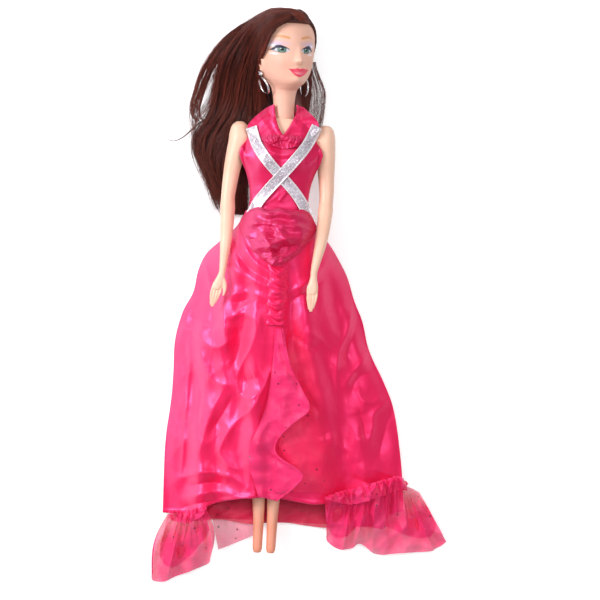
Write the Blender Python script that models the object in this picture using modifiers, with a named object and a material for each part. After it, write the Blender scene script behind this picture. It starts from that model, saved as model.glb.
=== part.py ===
# Fashion doll in an evening gown, lying on its back with its head turned.
# +X is the viewer's right (the doll's own left), +Y runs to the head, +Z comes out of the chest.
# The doll's parts are drawn in its own lengthwise frame: x from the body's middle, y up from
# the soles, z up from the table, and the doll empty carries them to the part's origin.

import math

import bmesh
import bpy
from mathutils import Matrix, Vector

# Driving dimensions of the doll
NECK_BASE_HEIGHT = 0.2330
SHOULDER_HEIGHT = NECK_BASE_HEIGHT * 0.9485
WAIST_HEIGHT = NECK_BASE_HEIGHT * 0.7854
HIP_HEIGHT = NECK_BASE_HEIGHT * 0.6738
CROTCH_HEIGHT = NECK_BASE_HEIGHT * 0.6352
BODY_RISE = 0.0180
RUNNING_GAP = 0.0003
CUT_OVERRUN = 0.0040

# Torso shells
TORSO_HALF_WIDTH = 0.0213
TORSO_FRONT_DEPTH = 0.0115
TORSO_BACK_DEPTH = 0.0120
TORSO_WALL = 0.0012
TORSO_PARTING_GAP = 0.0006
BUST_RISE = 0.0042
BUST_SPACING = 0.0086
BUST_RADIUS = 0.0068
BUST_HEIGHT = NECK_BASE_HEIGHT * 0.9034

# Hip pin and its boss
HIP_PIN_RADIUS = 0.0015
HIP_PIN_REACH = 0.0120
HIP_WEB_HALF_WIDTH = 0.0034
HIP_BOSS_HALF_HEIGHT = 0.0032
HIP_BOSS_HALF_WIDTH = 0.0031
LEG_OPENING_RADIUS = 0.0140

# Legs
LEG_DISC_RADIUS = 0.0110
LEG_OUTER_REACH = 0.0208
LEG_HALF_WIDTH = 0.0076
LEG_HALF_DEPTH = 0.0088
LEG_HIP_SPREAD = 0.0122
LEG_HEEL_DROP = 0.0108

# Shoulder pegs and arms
SHOULDER_HALF_SPAN = 0.0231
SHOULDER_RADIUS = 0.0056
PEG_RADIUS = 0.0030
PEG_FLANGE_RADIUS = 0.0040
PEG_FLANGE_THICKNESS = 0.0010
ARM_HALF_WIDTH = 0.0056
ARM_HALF_DEPTH = 0.0060
ARM_LENGTH = NECK_BASE_HEIGHT * 0.3876
ARM_RIGHT_DRIFT = 0.0094
ARM_LEFT_DRIFT = 0.0044
ARM_RIGHT_RISE = 0.0098
ARM_LEFT_RISE = 0.0155
THUMB_LENGTH = 0.0105
THUMB_RADIUS = 0.0011

# Neck peg
NECK_PEG_RADIUS = 0.0030
NECK_FLANGE_RADIUS = 0.0041
NECK_BASE_FLANGE_RADIUS = 0.0044
NECK_PEG_REACH = 0.0110
NECK_PEG_DEPTH = 0.0036
NECK_FLANGE_THICKNESS = 0.0012
NECK_FOOT_GAP = 0.0009

# Head, in its own frame: y up from the neck's foot, z to the face
HEAD_TURN = math.radians(27)
HEAD_NOD = math.radians(7)
HEAD_HEIGHT = 0.0560
HEAD_HALF_WIDTH = 0.0144
HEAD_FRONT_DEPTH = 0.0156
HEAD_BACK_DEPTH = 0.0168
HEAD_WALL = 0.0015
NOSE_RISE = 0.0026
LIP_RISE = 0.0009
CHIN_RISE = 0.0013
EYE_HOLLOW = 0.0009

# Earrings
STUD_RADIUS = 0.0013
STUD_POST_RADIUS = 0.00045
STUD_POST_LENGTH = 0.0038
HOOP_RADIUS = 0.0046
HOOP_WIRE_RADIUS = 0.0005
HOOP_LEAN = math.radians(24)
EARRING_HEIGHT = 0.0236
EARRING_SETBACK = 0.0030

# Hair
HAIR_CAP_THICKNESS = 0.0030
HAIR_ROOT_GAP = 0.0008
HAIR_SWEEP_WIDTH = 0.0510
HAIR_SWEEP_END_HEIGHT = NECK_BASE_HEIGHT * 0.7554
HAIR_SWEEP_TOP_HEIGHT = NECK_BASE_HEIGHT + HEAD_HEIGHT * 0.9286
HAIR_SWEEP_DEPTH = 0.0240
HAIR_WISP_WIDTH = 0.0222
HAIR_STRAND_RADIUS = 0.0005
CURL_RADIUS = 0.0046

# Gown
CLOTH = 0.0008
TULLE = 0.0006
SKIRT_RIGHT_WIDTH = 0.0528
SKIRT_LEFT_WIDTH = 0.0760
SKIRT_CROWN = 0.0345
SKIRT_HEM_HEIGHT = 0.0180
SKIRT_FOLD = 0.0021
BACK_HEM_HEIGHT = 0.0160
TULLE_RIGHT_REACH = 0.0603
TULLE_LEFT_REACH = 0.0999
TULLE_LOW_REACH = 0.0200
RIBBON_WIDTH = 0.0058
COLLAR_REACH = 0.0185
RUCHE_WIDTH = 0.0098
RUCHE_RISE = 0.0020
DRAPE_RISE = 0.0026
TAPE_WIDTH = 0.0050

# Outlines in shares of the sizes above, each row from low to high
# torso: height, half width, front depth, back depth
TORSO_SHARES = [
    (0.000, 0.24, 0.26, 0.26), (0.047, 0.58, 0.52, 0.62), (0.106, 0.90, 0.78, 0.94),
    (0.176, 1.00, 0.88, 1.00), (0.260, 0.92, 0.87, 0.88), (0.353, 0.76, 0.78, 0.68),
    (0.460, 0.69, 0.71, 0.62), (0.553, 0.71, 0.75, 0.67), (0.647, 0.78, 0.87, 0.75),
    (0.741, 0.80, 0.95, 0.79), (0.824, 0.79, 0.91, 0.79), (0.894, 0.74, 0.76, 0.71),
    (0.941, 0.60, 0.63, 0.60), (0.976, 0.38, 0.54, 0.51), (1.000, 0.28, 0.50, 0.48),
]
# leg: height, sideways place, half width, half depth, share of the drop from hip to heel
LEG_SHARES = [
    (0.000, 0.295, 0.20, 0.16, 0.62), (0.012, 0.295, 0.27, 0.26, 0.66),
    (0.055, 0.298, 0.29, 0.30, 0.78), (0.095, 0.300, 0.31, 0.38, 0.92),
    (0.130, 0.308, 0.33, 0.42, 0.98), (0.175, 0.325, 0.38, 0.40, 0.93),
    (0.270, 0.378, 0.53, 0.51, 0.76), (0.370, 0.430, 0.64, 0.63, 0.62),
    (0.450, 0.462, 0.66, 0.62, 0.50), (0.525, 0.490, 0.66, 0.62, 0.40),
    (0.600, 0.534, 0.70, 0.67, 0.31), (0.720, 0.630, 0.80, 0.80, 0.17),
    (0.850, 0.750, 0.90, 0.93, 0.06), (0.955, 0.900, 0.96, 0.98, 0.00),
]
# arm: distance down from the shoulder, sideways drift, half width, half depth, rise
ARM_SHARES = [
    (-0.072, -0.02, 0.42, 0.40, 0.00), (-0.052, -0.01, 0.78, 0.76, 0.00),
    (0.000, 0.00, 1.00, 1.00, 0.00), (0.070, 0.10, 0.96, 0.92, -0.02),
    (0.180, 0.30, 0.80, 0.76, -0.05), (0.300, 0.42, 0.70, 0.66, 0.00),
    (0.360, 0.45, 0.66, 0.64, 0.06), (0.460, 0.42, 0.67, 0.62, 0.26),
    (0.600, 0.42, 0.56, 0.50, 0.66), (0.760, 0.50, 0.34, 0.32, 0.93),
    (0.800, 0.54, 0.33, 0.28, 0.96), (0.860, 0.70, 0.50, 0.26, 0.99),
    (0.910, 0.82, 0.44, 0.22, 1.00), (0.960, 0.92, 0.30, 0.18, 0.99),
    (1.000, 1.00, 0.12, 0.12, 0.97),
]
# left arm's drift differs: it bows out at the elbow and comes in over the gown
ARM_LEFT_DRIFT_SHARES = [
    0.00, 0.00, 0.00, 0.10, 0.30, 0.48, 0.46, 0.38, 0.06, -0.56, -0.60, -0.62, -0.64,
    -0.68, -0.72,
]
# head: height, half width, front depth, back depth
HEAD_SHARES = [
    (0.000, 0.395, 0.360, 0.335), (0.075, 0.385, 0.350, 0.330), (0.165, 0.395, 0.370, 0.370),
    (0.225, 0.450, 0.470, 0.480), (0.262, 0.540, 0.700, 0.560), (0.300, 0.640, 0.860, 0.650),
    (0.350, 0.760, 0.940, 0.760), (0.440, 0.880, 0.970, 0.880), (0.530, 0.950, 0.985, 0.950),
    (0.620, 0.985, 0.985, 0.985), (0.720, 1.000, 0.990, 1.000), (0.800, 0.980, 0.960, 0.980),
    (0.870, 0.900, 0.860, 0.890), (0.925, 0.740, 0.690, 0.730), (0.965, 0.520, 0.480, 0.520),
    (0.990, 0.260, 0.240, 0.260),
]
# skirt: height, left reach, right reach, edge rise, crown rise
SKIRT_SHARES = [
    (1.000, 0.325, 0.228, 0.545, 0.850), (0.970, 0.362, 0.258, 0.500, 0.900),
    (0.933, 0.450, 0.312, 0.390, 0.950), (0.897, 0.575, 0.378, 0.250, 0.985),
    (0.855, 0.710, 0.440, 0.130, 1.000), (0.800, 0.786, 0.507, 0.065, 0.990),
    (0.727, 0.830, 0.566, 0.034, 0.950), (0.660, 0.928, 0.632, 0.034, 0.910),
    (0.564, 0.992, 0.691, 0.034, 0.850), (0.467, 0.992, 0.803, 0.034, 0.790),
    (0.376, 1.000, 0.888, 0.034, 0.740), (0.242, 1.038, 0.947, 0.034, 0.650),
    (0.115, 1.038, 0.985, 0.034, 0.530), (0.000, 1.032, 1.000, 0.034, 0.420),
]
# hair sweep: height, outer reach, inner reach, floor, roof
HAIR_SWEEP_SHARES = [
    (0.00, 0.620, 0.520, 0.02, 0.10), (0.06, 0.660, 0.400, 0.01, 0.22),
    (0.18, 0.730, 0.345, 0.01, 0.32), (0.30, 0.860, 0.350, 0.01, 0.38),
    (0.42, 0.970, 0.350, 0.01, 0.40), (0.52, 0.985, 0.300, 0.01, 0.42),
    (0.60, 1.000, 0.180, 0.01, 0.37), (0.68, 1.000, 0.240, 0.01, 0.60),
    (0.76, 0.960, 0.325, 0.01, 0.84), (0.84, 0.890, 0.355, 0.02, 0.98),
    (0.92, 0.780, 0.380, 0.06, 0.94), (1.00, 0.600, 0.420, 0.30, 0.70),
]

WRAP = 2 * math.pi


def clear_scene():
    for item in list(bpy.data.objects):
        bpy.data.objects.remove(item, do_unlink=True)


def named_collection(name):
    group = bpy.data.collections.new(name)
    bpy.context.scene.collection.children.link(group)
    return group


clear_scene()
DOLL = named_collection("fashion_doll")
CUTTERS = named_collection("cutters")


def finish(name, colour, roughness, metallic=0.0):
    made = bpy.data.materials.get(name) or bpy.data.materials.new(name)
    made.use_nodes = True
    shader = made.node_tree.nodes["Principled BSDF"]
    shader.inputs["Base Color"].default_value = (*colour, 1.0)
    shader.inputs["Roughness"].default_value = roughness
    shader.inputs["Metallic"].default_value = metallic
    made.diffuse_color = (*colour, 1.0)
    return made


BODY_PLASTIC = finish("body_plastic", (0.86, 0.60, 0.42), 0.42)
HEAD_VINYL = finish("head_vinyl", (0.90, 0.62, 0.50), 0.48)
PIN_STEEL = finish("pin_steel", (0.60, 0.60, 0.60), 0.35, 1.0)
HAIR_FIBRE = finish("hair_fibre", (0.05, 0.015, 0.012), 0.40)
SILVER = finish("silver", (0.80, 0.80, 0.82), 0.22, 1.0)
SATIN = finish("satin", (0.80, 0.015, 0.14), 0.30)
DOTTED_TULLE = finish("dotted_tulle", (0.70, 0.03, 0.16), 0.55)
GLITTER_RIBBON = finish("glitter_ribbon", (0.72, 0.71, 0.76), 0.40, 0.6)
TAPE_FABRIC = finish("tape_fabric", (0.85, 0.84, 0.82), 0.85)


def smooth(table, at):
    """Read a table of rows at the first column's value, smoothly between the rows."""
    rows = sorted(table)
    spot = min(max(at, rows[0][0]), rows[-1][0])
    index = max(i for i, row in enumerate(rows) if row[0] <= spot)
    index = min(index, len(rows) - 2)
    low, high = rows[index], rows[index + 1]
    before, after = rows[max(index - 1, 0)], rows[min(index + 2, len(rows) - 1)]
    span = high[0] - low[0]
    t = (spot - low[0]) / span
    found = []
    for column in range(1, len(low)):
        rise = high[column] - low[column]
        slope_low = rise
        slope_high = rise
        if before is not low:
            slope_low = (high[column] - before[column]) * span / (high[0] - before[0])
        if after is not high:
            slope_high = (after[column] - low[column]) * span / (after[0] - low[0])
        cubic = 2 * t**3 - 3 * t**2 + 1, t**3 - 2 * t**2 + t, 3 * t**2 - 2 * t**3, t**3 - t**2
        found.append(low[column] * cubic[0] + slope_low * cubic[1]
                     + high[column] * cubic[2] + slope_high * cubic[3])
    return found


def ramp(value, low, high):
    t = min(max((value - low) / (high - low), 0.0), 1.0)
    return t * t * (3 - 2 * t)


def hill(value, middle, width):
    return math.exp(-((value - middle) / width) ** 2)


def place(item, material, parent=None):
    DOLL.objects.link(item)
    item.data.materials.append(material)
    item.parent = parent
    return item


def empty(name, spot, parent=None, turn=None):
    made = bpy.data.objects.new(name, None)
    DOLL.objects.link(made)
    made.location = spot
    if turn is not None:
        made.rotation_euler = turn
    made.parent = parent
    return made


def grid_mesh(name, rows, wrap=False, caps=False):
    mesh = bmesh.new()
    made = [[mesh.verts.new(point) for point in row] for row in rows]
    count = len(made[0])
    last = count if wrap else count - 1
    for lower, upper in zip(made, made[1:]):
        for i in range(last):
            j = (i + 1) % count
            mesh.faces.new((lower[i], lower[j], upper[j], upper[i]))
    if caps:
        mesh.faces.new(reversed(made[0]))
        mesh.faces.new(made[-1])
        bmesh.ops.recalc_face_normals(mesh, faces=mesh.faces)
    data = bpy.data.meshes.new(name)
    mesh.to_mesh(data)
    mesh.free()
    data.shade_smooth()
    return data


def loft(name, rows, material, parent=None):
    """A closed body through rings that each hold the same number of points."""
    data = grid_mesh(name, rows, wrap=True, caps=True)
    return place(bpy.data.objects.new(name, data), material, parent)


def cloth(name, rows, material, parent, thickness=CLOTH, inward=False, wrap=False):
    """A sheet whose under side runs through the rows and whose thickness stands above it."""
    data = grid_mesh(name, rows, wrap=wrap)
    item = place(bpy.data.objects.new(name, data), material, parent)
    solid = item.modifiers.new("thickness", "SOLIDIFY")
    solid.thickness = thickness
    solid.offset = -1.0 if inward else 1.0
    return item


def oval(x, y, z, half_width, half_depth, count, square=2.0):
    ring = []
    for i in range(count):
        angle = WRAP * i / count
        c, s = math.cos(angle), math.sin(angle)
        reach = (abs(c) ** square + abs(s) ** square) ** (-1 / square)
        ring.append(Vector((x + half_width * reach * c, y, z + half_depth * reach * s)))
    return ring


def turned(name, profile, axis, steps, material, parent):
    """A body of revolution: the profile's points are (radius, distance along the axis)."""
    mesh = bmesh.new()
    made = [mesh.verts.new((radius, 0, along)) for radius, along in profile]
    for first, second in zip(made, made[1:]):
        mesh.edges.new((first, second))
    data = bpy.data.meshes.new(name)
    mesh.to_mesh(data)
    mesh.free()
    item = place(bpy.data.objects.new(name, data), material, parent)
    screw = item.modifiers.new("turn", "SCREW")
    screw.steps = steps
    screw.render_steps = steps
    screw.use_merge_vertices = True
    screw.merge_threshold = 0.00001
    item.rotation_euler = Vector((0, 0, 1)).rotation_difference(Vector(axis)).to_euler()
    return item


def flatten(item):
    """Turn an object with modifiers into a plain mesh, in the doll's own frame."""
    bpy.context.view_layer.update()
    graph = bpy.context.evaluated_depsgraph_get()
    data = bpy.data.meshes.new_from_object(item.evaluated_get(graph))
    item.modifiers.clear()
    data.transform(item.matrix_local)
    item.data = data
    item.matrix_local = Matrix.Identity(4)
    return item


def cutter(name, data, spot, turn=(0, 0, 0), parent=None):
    item = bpy.data.objects.new(name, data)
    CUTTERS.objects.link(item)
    item.location = spot
    item.rotation_euler = turn
    item.parent = parent
    item.hide_render = True
    item.display_type = "WIRE"
    return item


def rod_mesh(name, radius, length, sides=24):
    mesh = bmesh.new()
    bmesh.ops.create_cone(mesh, cap_ends=True, segments=sides, radius1=radius,
                          radius2=radius, depth=length)
    data = bpy.data.meshes.new(name)
    mesh.to_mesh(data)
    mesh.free()
    return data


def box_mesh(name, size):
    mesh = bmesh.new()
    bmesh.ops.create_cube(mesh, size=1)
    bmesh.ops.scale(mesh, vec=Vector(size), verts=mesh.verts)
    data = bpy.data.meshes.new(name)
    mesh.to_mesh(data)
    mesh.free()
    return data


def combine(item, tool, operation):
    change = item.modifiers.new(operation.lower(), "BOOLEAN")
    change.operation = operation
    change.solver = "EXACT"
    change.object = tool


LYING = (0, math.pi / 2, 0)
MIDDLE_X = (TULLE_LEFT_REACH - TULLE_RIGHT_REACH) / 2
CROWN_LENGTH = HEAD_HEIGHT + HAIR_ROOT_GAP + HAIR_CAP_THICKNESS
CROWN_HEIGHT = NECK_BASE_HEIGHT + CROWN_LENGTH * math.cos(HEAD_NOD)
MIDDLE_Y = (CROWN_HEIGHT - TULLE_LOW_REACH) / 2
doll = empty("doll", (-MIDDLE_X, -MIDDLE_Y, 0))


# Torso

TORSO_LENGTH = NECK_BASE_HEIGHT - CROTCH_HEIGHT


def torso_size(height):
    width, front, back = smooth(TORSO_SHARES, (height - CROTCH_HEIGHT) / TORSO_LENGTH)
    return width * TORSO_HALF_WIDTH, front * TORSO_FRONT_DEPTH, back * TORSO_BACK_DEPTH


def bust(x, height):
    side = abs(x) - BUST_SPACING
    return BUST_RISE * math.exp(-(side**2 + (height - BUST_HEIGHT) ** 2) / BUST_RADIUS**2)


def torso_point(angle, height, clearance):
    """A point on the torso or a clearance outside it; angle 0 is +X, a quarter turn the chest."""
    width, front, back = torso_size(height)
    c, s = math.cos(angle), math.sin(angle)
    x = (width + clearance) * math.copysign(abs(c) ** 0.92, c)
    depth = front if s >= 0 else back
    z = (depth + clearance) * math.copysign(abs(s) ** 0.92, s)
    if s > 0:
        z += bust(x, height) * s
    z += math.copysign(TORSO_PARTING_GAP / 2, s)
    return Vector((x, height, BODY_RISE + z))


def torso_half(name, sign):
    rows = []
    for row in TORSO_SHARES:
        height = CROTCH_HEIGHT + row[0] * TORSO_LENGTH
        ring = []
        for i in range(13):
            turn = min(max(i / 12, 0.0001), 0.9999) * math.pi
            ring.append(torso_point(math.pi - turn if sign > 0 else WRAP - turn, height, 0))
        rows.append(ring)
    return cloth(name, rows, BODY_PLASTIC, doll, TORSO_WALL, inward=True)


def make_torso():
    front = torso_half("torso_front_shell", 1)
    back = torso_half("torso_back_shell", -1)
    for side, name in ((1, "left"), (-1, "right")):
        opening = rod_mesh(f"leg_opening_{name}", LEG_OPENING_RADIUS, TORSO_HALF_WIDTH)
        spot = (side * (HIP_WEB_HALF_WIDTH + TORSO_HALF_WIDTH / 2), HIP_HEIGHT, BODY_RISE)
        leg_cut = cutter(f"leg_opening_{name}", opening, spot, LYING, doll)
        hole = rod_mesh(f"arm_hole_{name}", PEG_RADIUS + RUNNING_GAP, TORSO_HALF_WIDTH)
        arm_cut = cutter(f"arm_hole_{name}", hole,
                         (side * TORSO_HALF_WIDTH, SHOULDER_HEIGHT, BODY_RISE), LYING, doll)
        for shell in (front, back):
            combine(shell, leg_cut, "DIFFERENCE")
            combine(shell, arm_cut, "DIFFERENCE")
    neck = rod_mesh("neck_hole", NECK_PEG_RADIUS + RUNNING_GAP, NECK_PEG_DEPTH + CUT_OVERRUN)
    neck_cut = cutter("neck_hole", neck, (0, NECK_BASE_HEIGHT, BODY_RISE),
                      (math.pi / 2, 0, 0), doll)
    pin = rod_mesh("hip_pin_hole", HIP_PIN_RADIUS + RUNNING_GAP, 2 * HIP_PIN_REACH)
    pin_cut = cutter("hip_pin_hole", pin, (0, HIP_HEIGHT, BODY_RISE), LYING, doll)
    _, front_depth, back_depth = torso_size(HIP_HEIGHT)
    for shell, sign, depth in ((front, 1, front_depth), (back, -1, back_depth)):
        reach = depth - TORSO_WALL / 2
        boss = box_mesh(f"hip_boss_{shell.name}", (2 * HIP_BOSS_HALF_WIDTH,
                                                   2 * HIP_BOSS_HALF_HEIGHT, reach))
        spot = (0, HIP_HEIGHT, BODY_RISE + sign * (RUNNING_GAP + reach) / 2)
        combine(shell, cutter(f"hip_boss_{shell.name}", boss, spot, parent=doll), "UNION")
        combine(shell, pin_cut, "DIFFERENCE")
        combine(shell, neck_cut, "DIFFERENCE")


def make_hip_pin():
    data = rod_mesh("hip_pin", HIP_PIN_RADIUS, 2 * HIP_PIN_REACH, 20)
    data.shade_smooth()
    pin = place(bpy.data.objects.new("hip_pin", data), PIN_STEEL, doll)
    pin.location = (0, HIP_HEIGHT, BODY_RISE)
    pin.rotation_euler = LYING


def make_neck_peg():
    low = -NECK_PEG_DEPTH
    top = NECK_PEG_REACH
    profile = [
        (0, top), (NECK_PEG_RADIUS, top), (NECK_FLANGE_RADIUS, top - NECK_FLANGE_THICKNESS),
        (NECK_FLANGE_RADIUS, top - 2 * NECK_FLANGE_THICKNESS),
        (NECK_PEG_RADIUS, top - 2 * NECK_FLANGE_THICKNESS),
        (NECK_PEG_RADIUS, low), (NECK_BASE_FLANGE_RADIUS, low),
        (NECK_BASE_FLANGE_RADIUS, low - NECK_FLANGE_THICKNESS), (0, low - NECK_FLANGE_THICKNESS),
    ]
    turned("neck_peg", profile, (0, 1, 0), 20, BODY_PLASTIC, neck)


# Legs

def leg_point(share):
    sideways, width, depth, drop = smooth(LEG_SHARES, share)
    return sideways * LEG_HIP_SPREAD, width * LEG_HALF_WIDTH, depth * LEG_HALF_DEPTH, drop


def make_leg(side, name):
    """One moulded leg: a disc on the hip axis, a slim shaped shank and an arched foot."""
    hip = empty(f"hip_{name}", (0, HIP_HEIGHT, BODY_RISE), doll)
    rows = []
    for row in LEG_SHARES:
        x, width, depth, drop = leg_point(row[0])
        z = -drop * LEG_HEEL_DROP
        rows.append(oval(side * x, row[0] * HIP_HEIGHT - HIP_HEIGHT, z, width, depth, 14))
    leg = loft(f"leg_{name}", rows, BODY_PLASTIC, hip)
    inner = HIP_WEB_HALF_WIDTH + RUNNING_GAP
    reach = LEG_OUTER_REACH - inner
    radius = LEG_DISC_RADIUS
    profile = [
        (0, inner + reach), (0.42 * radius, inner + 0.97 * reach),
        (0.70 * radius, inner + 0.84 * reach), (0.90 * radius, inner + 0.60 * reach),
        (radius, inner + 0.30 * reach), (0.96 * radius, inner + 0.06 * reach),
        (0.90 * radius, inner), (0, inner),
    ]
    disc = turned(f"leg_disc_{name}", profile, (side, 0, 0), 22, BODY_PLASTIC, hip)
    flatten(disc)
    DOLL.objects.unlink(disc)
    CUTTERS.objects.link(disc)
    disc.hide_render = True
    disc.display_type = "WIRE"
    combine(leg, disc, "UNION")
    hole = rod_mesh(f"pin_bore_{name}", HIP_PIN_RADIUS + RUNNING_GAP, HIP_PIN_REACH)
    spot = (side * (HIP_PIN_REACH / 2 + RUNNING_GAP), 0, 0)
    combine(leg, cutter(f"pin_bore_{name}", hole, spot, LYING, hip), "DIFFERENCE")


# Arms

def arm_path(side, index):
    """Centre and half sizes of one ring of an arm, from the shoulder axis."""
    down, drift, width, depth, rise = ARM_SHARES[index]
    if side > 0:
        x = ARM_LEFT_DRIFT_SHARES[index] * ARM_LEFT_DRIFT
        z = rise * ARM_LEFT_RISE
    else:
        x = -drift * ARM_RIGHT_DRIFT
        z = rise * ARM_RIGHT_RISE
    x += side * SHOULDER_HALF_SPAN
    return Vector((x, -down * ARM_LENGTH, z)), width * ARM_HALF_WIDTH, depth * ARM_HALF_DEPTH


def make_arm(side, name):
    """One moulded arm with its shoulder peg, whose flange snaps inside the torso."""
    shoulder = empty(f"shoulder_{name}", (0, SHOULDER_HEIGHT, BODY_RISE), doll)
    rows = []
    for index in range(len(ARM_SHARES)):
        centre, width, depth = arm_path(side, index)
        rows.append(oval(centre.x, centre.y, centre.z, width, depth, 12))
    arm = loft(f"arm_{name}", rows, BODY_PLASTIC, shoulder)
    wall, _, _ = torso_size(SHOULDER_HEIGHT + PEG_FLANGE_RADIUS)
    inside = wall - 1.3 * TORSO_WALL - 2 * RUNNING_GAP
    outer = SHOULDER_HALF_SPAN
    profile = [
        (0, outer), (PEG_RADIUS, outer), (PEG_RADIUS, inside), (PEG_FLANGE_RADIUS, inside),
        (PEG_RADIUS, inside - PEG_FLANGE_THICKNESS), (0, inside - PEG_FLANGE_THICKNESS),
    ]
    peg = turned(f"arm_peg_{name}", profile, (side, 0, 0), 20, BODY_PLASTIC, shoulder)
    flatten(peg)
    palm, _, _ = arm_path(side, 10)
    thumb_rows = []
    for share, size in ((0.0, 0.8), (0.25, 1.1), (0.6, 1.0), (0.9, 0.8), (1.0, 0.45)):
        bow = math.sin(math.pi * share) * THUMB_RADIUS * 0.8
        lean = -side * (share * THUMB_LENGTH * 0.05 + ARM_HALF_WIDTH * 0.18 + bow)
        spot = palm + Vector((lean, -share * THUMB_LENGTH, share * THUMB_RADIUS))
        thumb_rows.append(oval(spot.x, spot.y, spot.z, size * THUMB_RADIUS,
                               size * THUMB_RADIUS, 8))
    thumb = loft(f"thumb_{name}", thumb_rows, BODY_PLASTIC, shoulder)
    for extra in (peg, thumb):
        DOLL.objects.unlink(extra)
        CUTTERS.objects.link(extra)
        extra.hide_render = True
        extra.display_type = "WIRE"
        combine(arm, extra, "UNION")


# Head

def head_size(share):
    width, front, back = smooth(HEAD_SHARES, share)
    return width * HEAD_HALF_WIDTH, front * HEAD_FRONT_DEPTH, back * HEAD_BACK_DEPTH


def face_rise(x, share):
    """How far the face stands out from the plain skull at one place."""
    side = x / HEAD_HALF_WIDTH
    nose = NOSE_RISE * hill(side, 0, 0.15) * hill(share, 0.545, 0.045)
    bridge = 0.45 * NOSE_RISE * hill(side, 0, 0.12) * hill(share, 0.610, 0.060)
    lips = LIP_RISE * hill(side, 0, 0.26) * hill(share, 0.440, 0.030)
    chin = CHIN_RISE * hill(side, 0, 0.26) * hill(share, 0.335, 0.045)
    eyes = EYE_HOLLOW * hill(abs(side), 0.42, 0.20) * hill(share, 0.648, 0.050)
    return nose + bridge + lips + chin - eyes


def head_point(angle, share, clearance=0.0):
    """A point on the head; angle 0 is the doll's left ear, a quarter turn the face."""
    width, front, back = head_size(share)
    c, s = math.cos(angle), math.sin(angle)
    x = (width + clearance) * math.copysign(abs(c) ** 0.94, c)
    depth = front if s >= 0 else back
    z = (depth + clearance) * math.copysign(abs(s) ** 0.94, s)
    if s > 0:
        z += face_rise(x, share) * s
    return Vector((x, share * HEAD_HEIGHT + clearance * ramp(share, 0.70, 0.99), z))


def make_head():
    """Soft vinyl head and neck in one hollow moulding, open at the foot for the peg."""
    lip = NECK_PEG_RADIUS + RUNNING_GAP
    foot = NECK_FOOT_GAP
    rows = []
    count = 24
    ring = [Vector((lip * math.cos(WRAP * i / count), foot, lip * math.sin(WRAP * i / count)))
            for i in range(count)]
    rows.append(ring)
    shares = [row[0] for row in HEAD_SHARES]
    shares[0] = foot / HEAD_HEIGHT
    shares[9:9] = [0.575]
    shares[8:8] = [0.485]
    for share in shares:
        rows.append([head_point(WRAP * i / count, share) for i in range(count)])
    data = grid_mesh("head_shell", rows, wrap=True)
    mesh = bmesh.new()
    mesh.from_mesh(data)
    mesh.verts.ensure_lookup_table()
    top_ring = mesh.verts[-count:]
    pole = mesh.verts.new((0, HEAD_HEIGHT, 0))
    for i in range(count):
        mesh.faces.new((top_ring[i], top_ring[(i + 1) % count], pole))
    mesh.to_mesh(data)
    mesh.free()
    shell = place(bpy.data.objects.new("head_shell", data), HEAD_VINYL, head)
    solid = shell.modifiers.new("wall", "SOLIDIFY")
    solid.thickness = HEAD_WALL
    solid.offset = 1.0
    for side, name in ((1, "left"), (-1, "right")):
        post = rod_mesh(f"post_hole_{name}", STUD_POST_RADIUS + RUNNING_GAP, STUD_POST_LENGTH * 3,
                        12)
        spot = (side * HEAD_HALF_WIDTH, EARRING_HEIGHT, -EARRING_SETBACK)
        combine(shell, cutter(f"post_hole_{name}", post, spot, LYING, head), "DIFFERENCE")


def ear_side():
    """Half width of the head where the earring posts go in."""
    width, _, back = head_size(EARRING_HEIGHT / HEAD_HEIGHT)
    return width * math.sqrt(1 - (EARRING_SETBACK / back) ** 2)


def make_earring(side, name):
    lobe = ear_side() + RUNNING_GAP + STUD_RADIUS
    spot = Vector((side * lobe, EARRING_HEIGHT, -EARRING_SETBACK))
    mesh = bmesh.new()
    bmesh.ops.create_uvsphere(mesh, u_segments=10, v_segments=7, radius=STUD_RADIUS)
    data = bpy.data.meshes.new(f"earring_stud_{name}")
    mesh.to_mesh(data)
    mesh.free()
    stud = place(bpy.data.objects.new(f"earring_stud_{name}", data), SILVER, head)
    stud.location = spot
    post = rod_mesh(f"stud_post_{name}", STUD_POST_RADIUS, STUD_POST_LENGTH, 10)
    middle = spot - Vector((side * (STUD_POST_LENGTH / 2 + STUD_RADIUS * 0.6), 0, 0))
    combine(stud, cutter(f"stud_post_{name}", post, middle, LYING, head), "UNION")
    lean = HOOP_LEAN if side < 0 else 0
    link = spot - Vector((0, STUD_RADIUS + RUNNING_GAP, 0))
    hinge = empty(f"hoop_hinge_{name}", link, head, (0, 0, lean))
    curve = bpy.data.curves.new(f"earring_hoop_{name}", "CURVE")
    curve.dimensions = "3D"
    curve.bevel_depth = HOOP_WIRE_RADIUS
    curve.bevel_resolution = 1
    loop = curve.splines.new("POLY")
    loop.use_cyclic_u = True
    loop.points.add(17)
    drop = HOOP_RADIUS + HOOP_WIRE_RADIUS
    for i, point in enumerate(loop.points):
        angle = WRAP * i / len(loop.points)
        point.co = (0, HOOP_RADIUS * math.cos(angle) - drop, HOOP_RADIUS * math.sin(angle), 1)
    place(bpy.data.objects.new(f"earring_hoop_{name}", curve), SILVER, hinge)


# Hair

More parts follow.
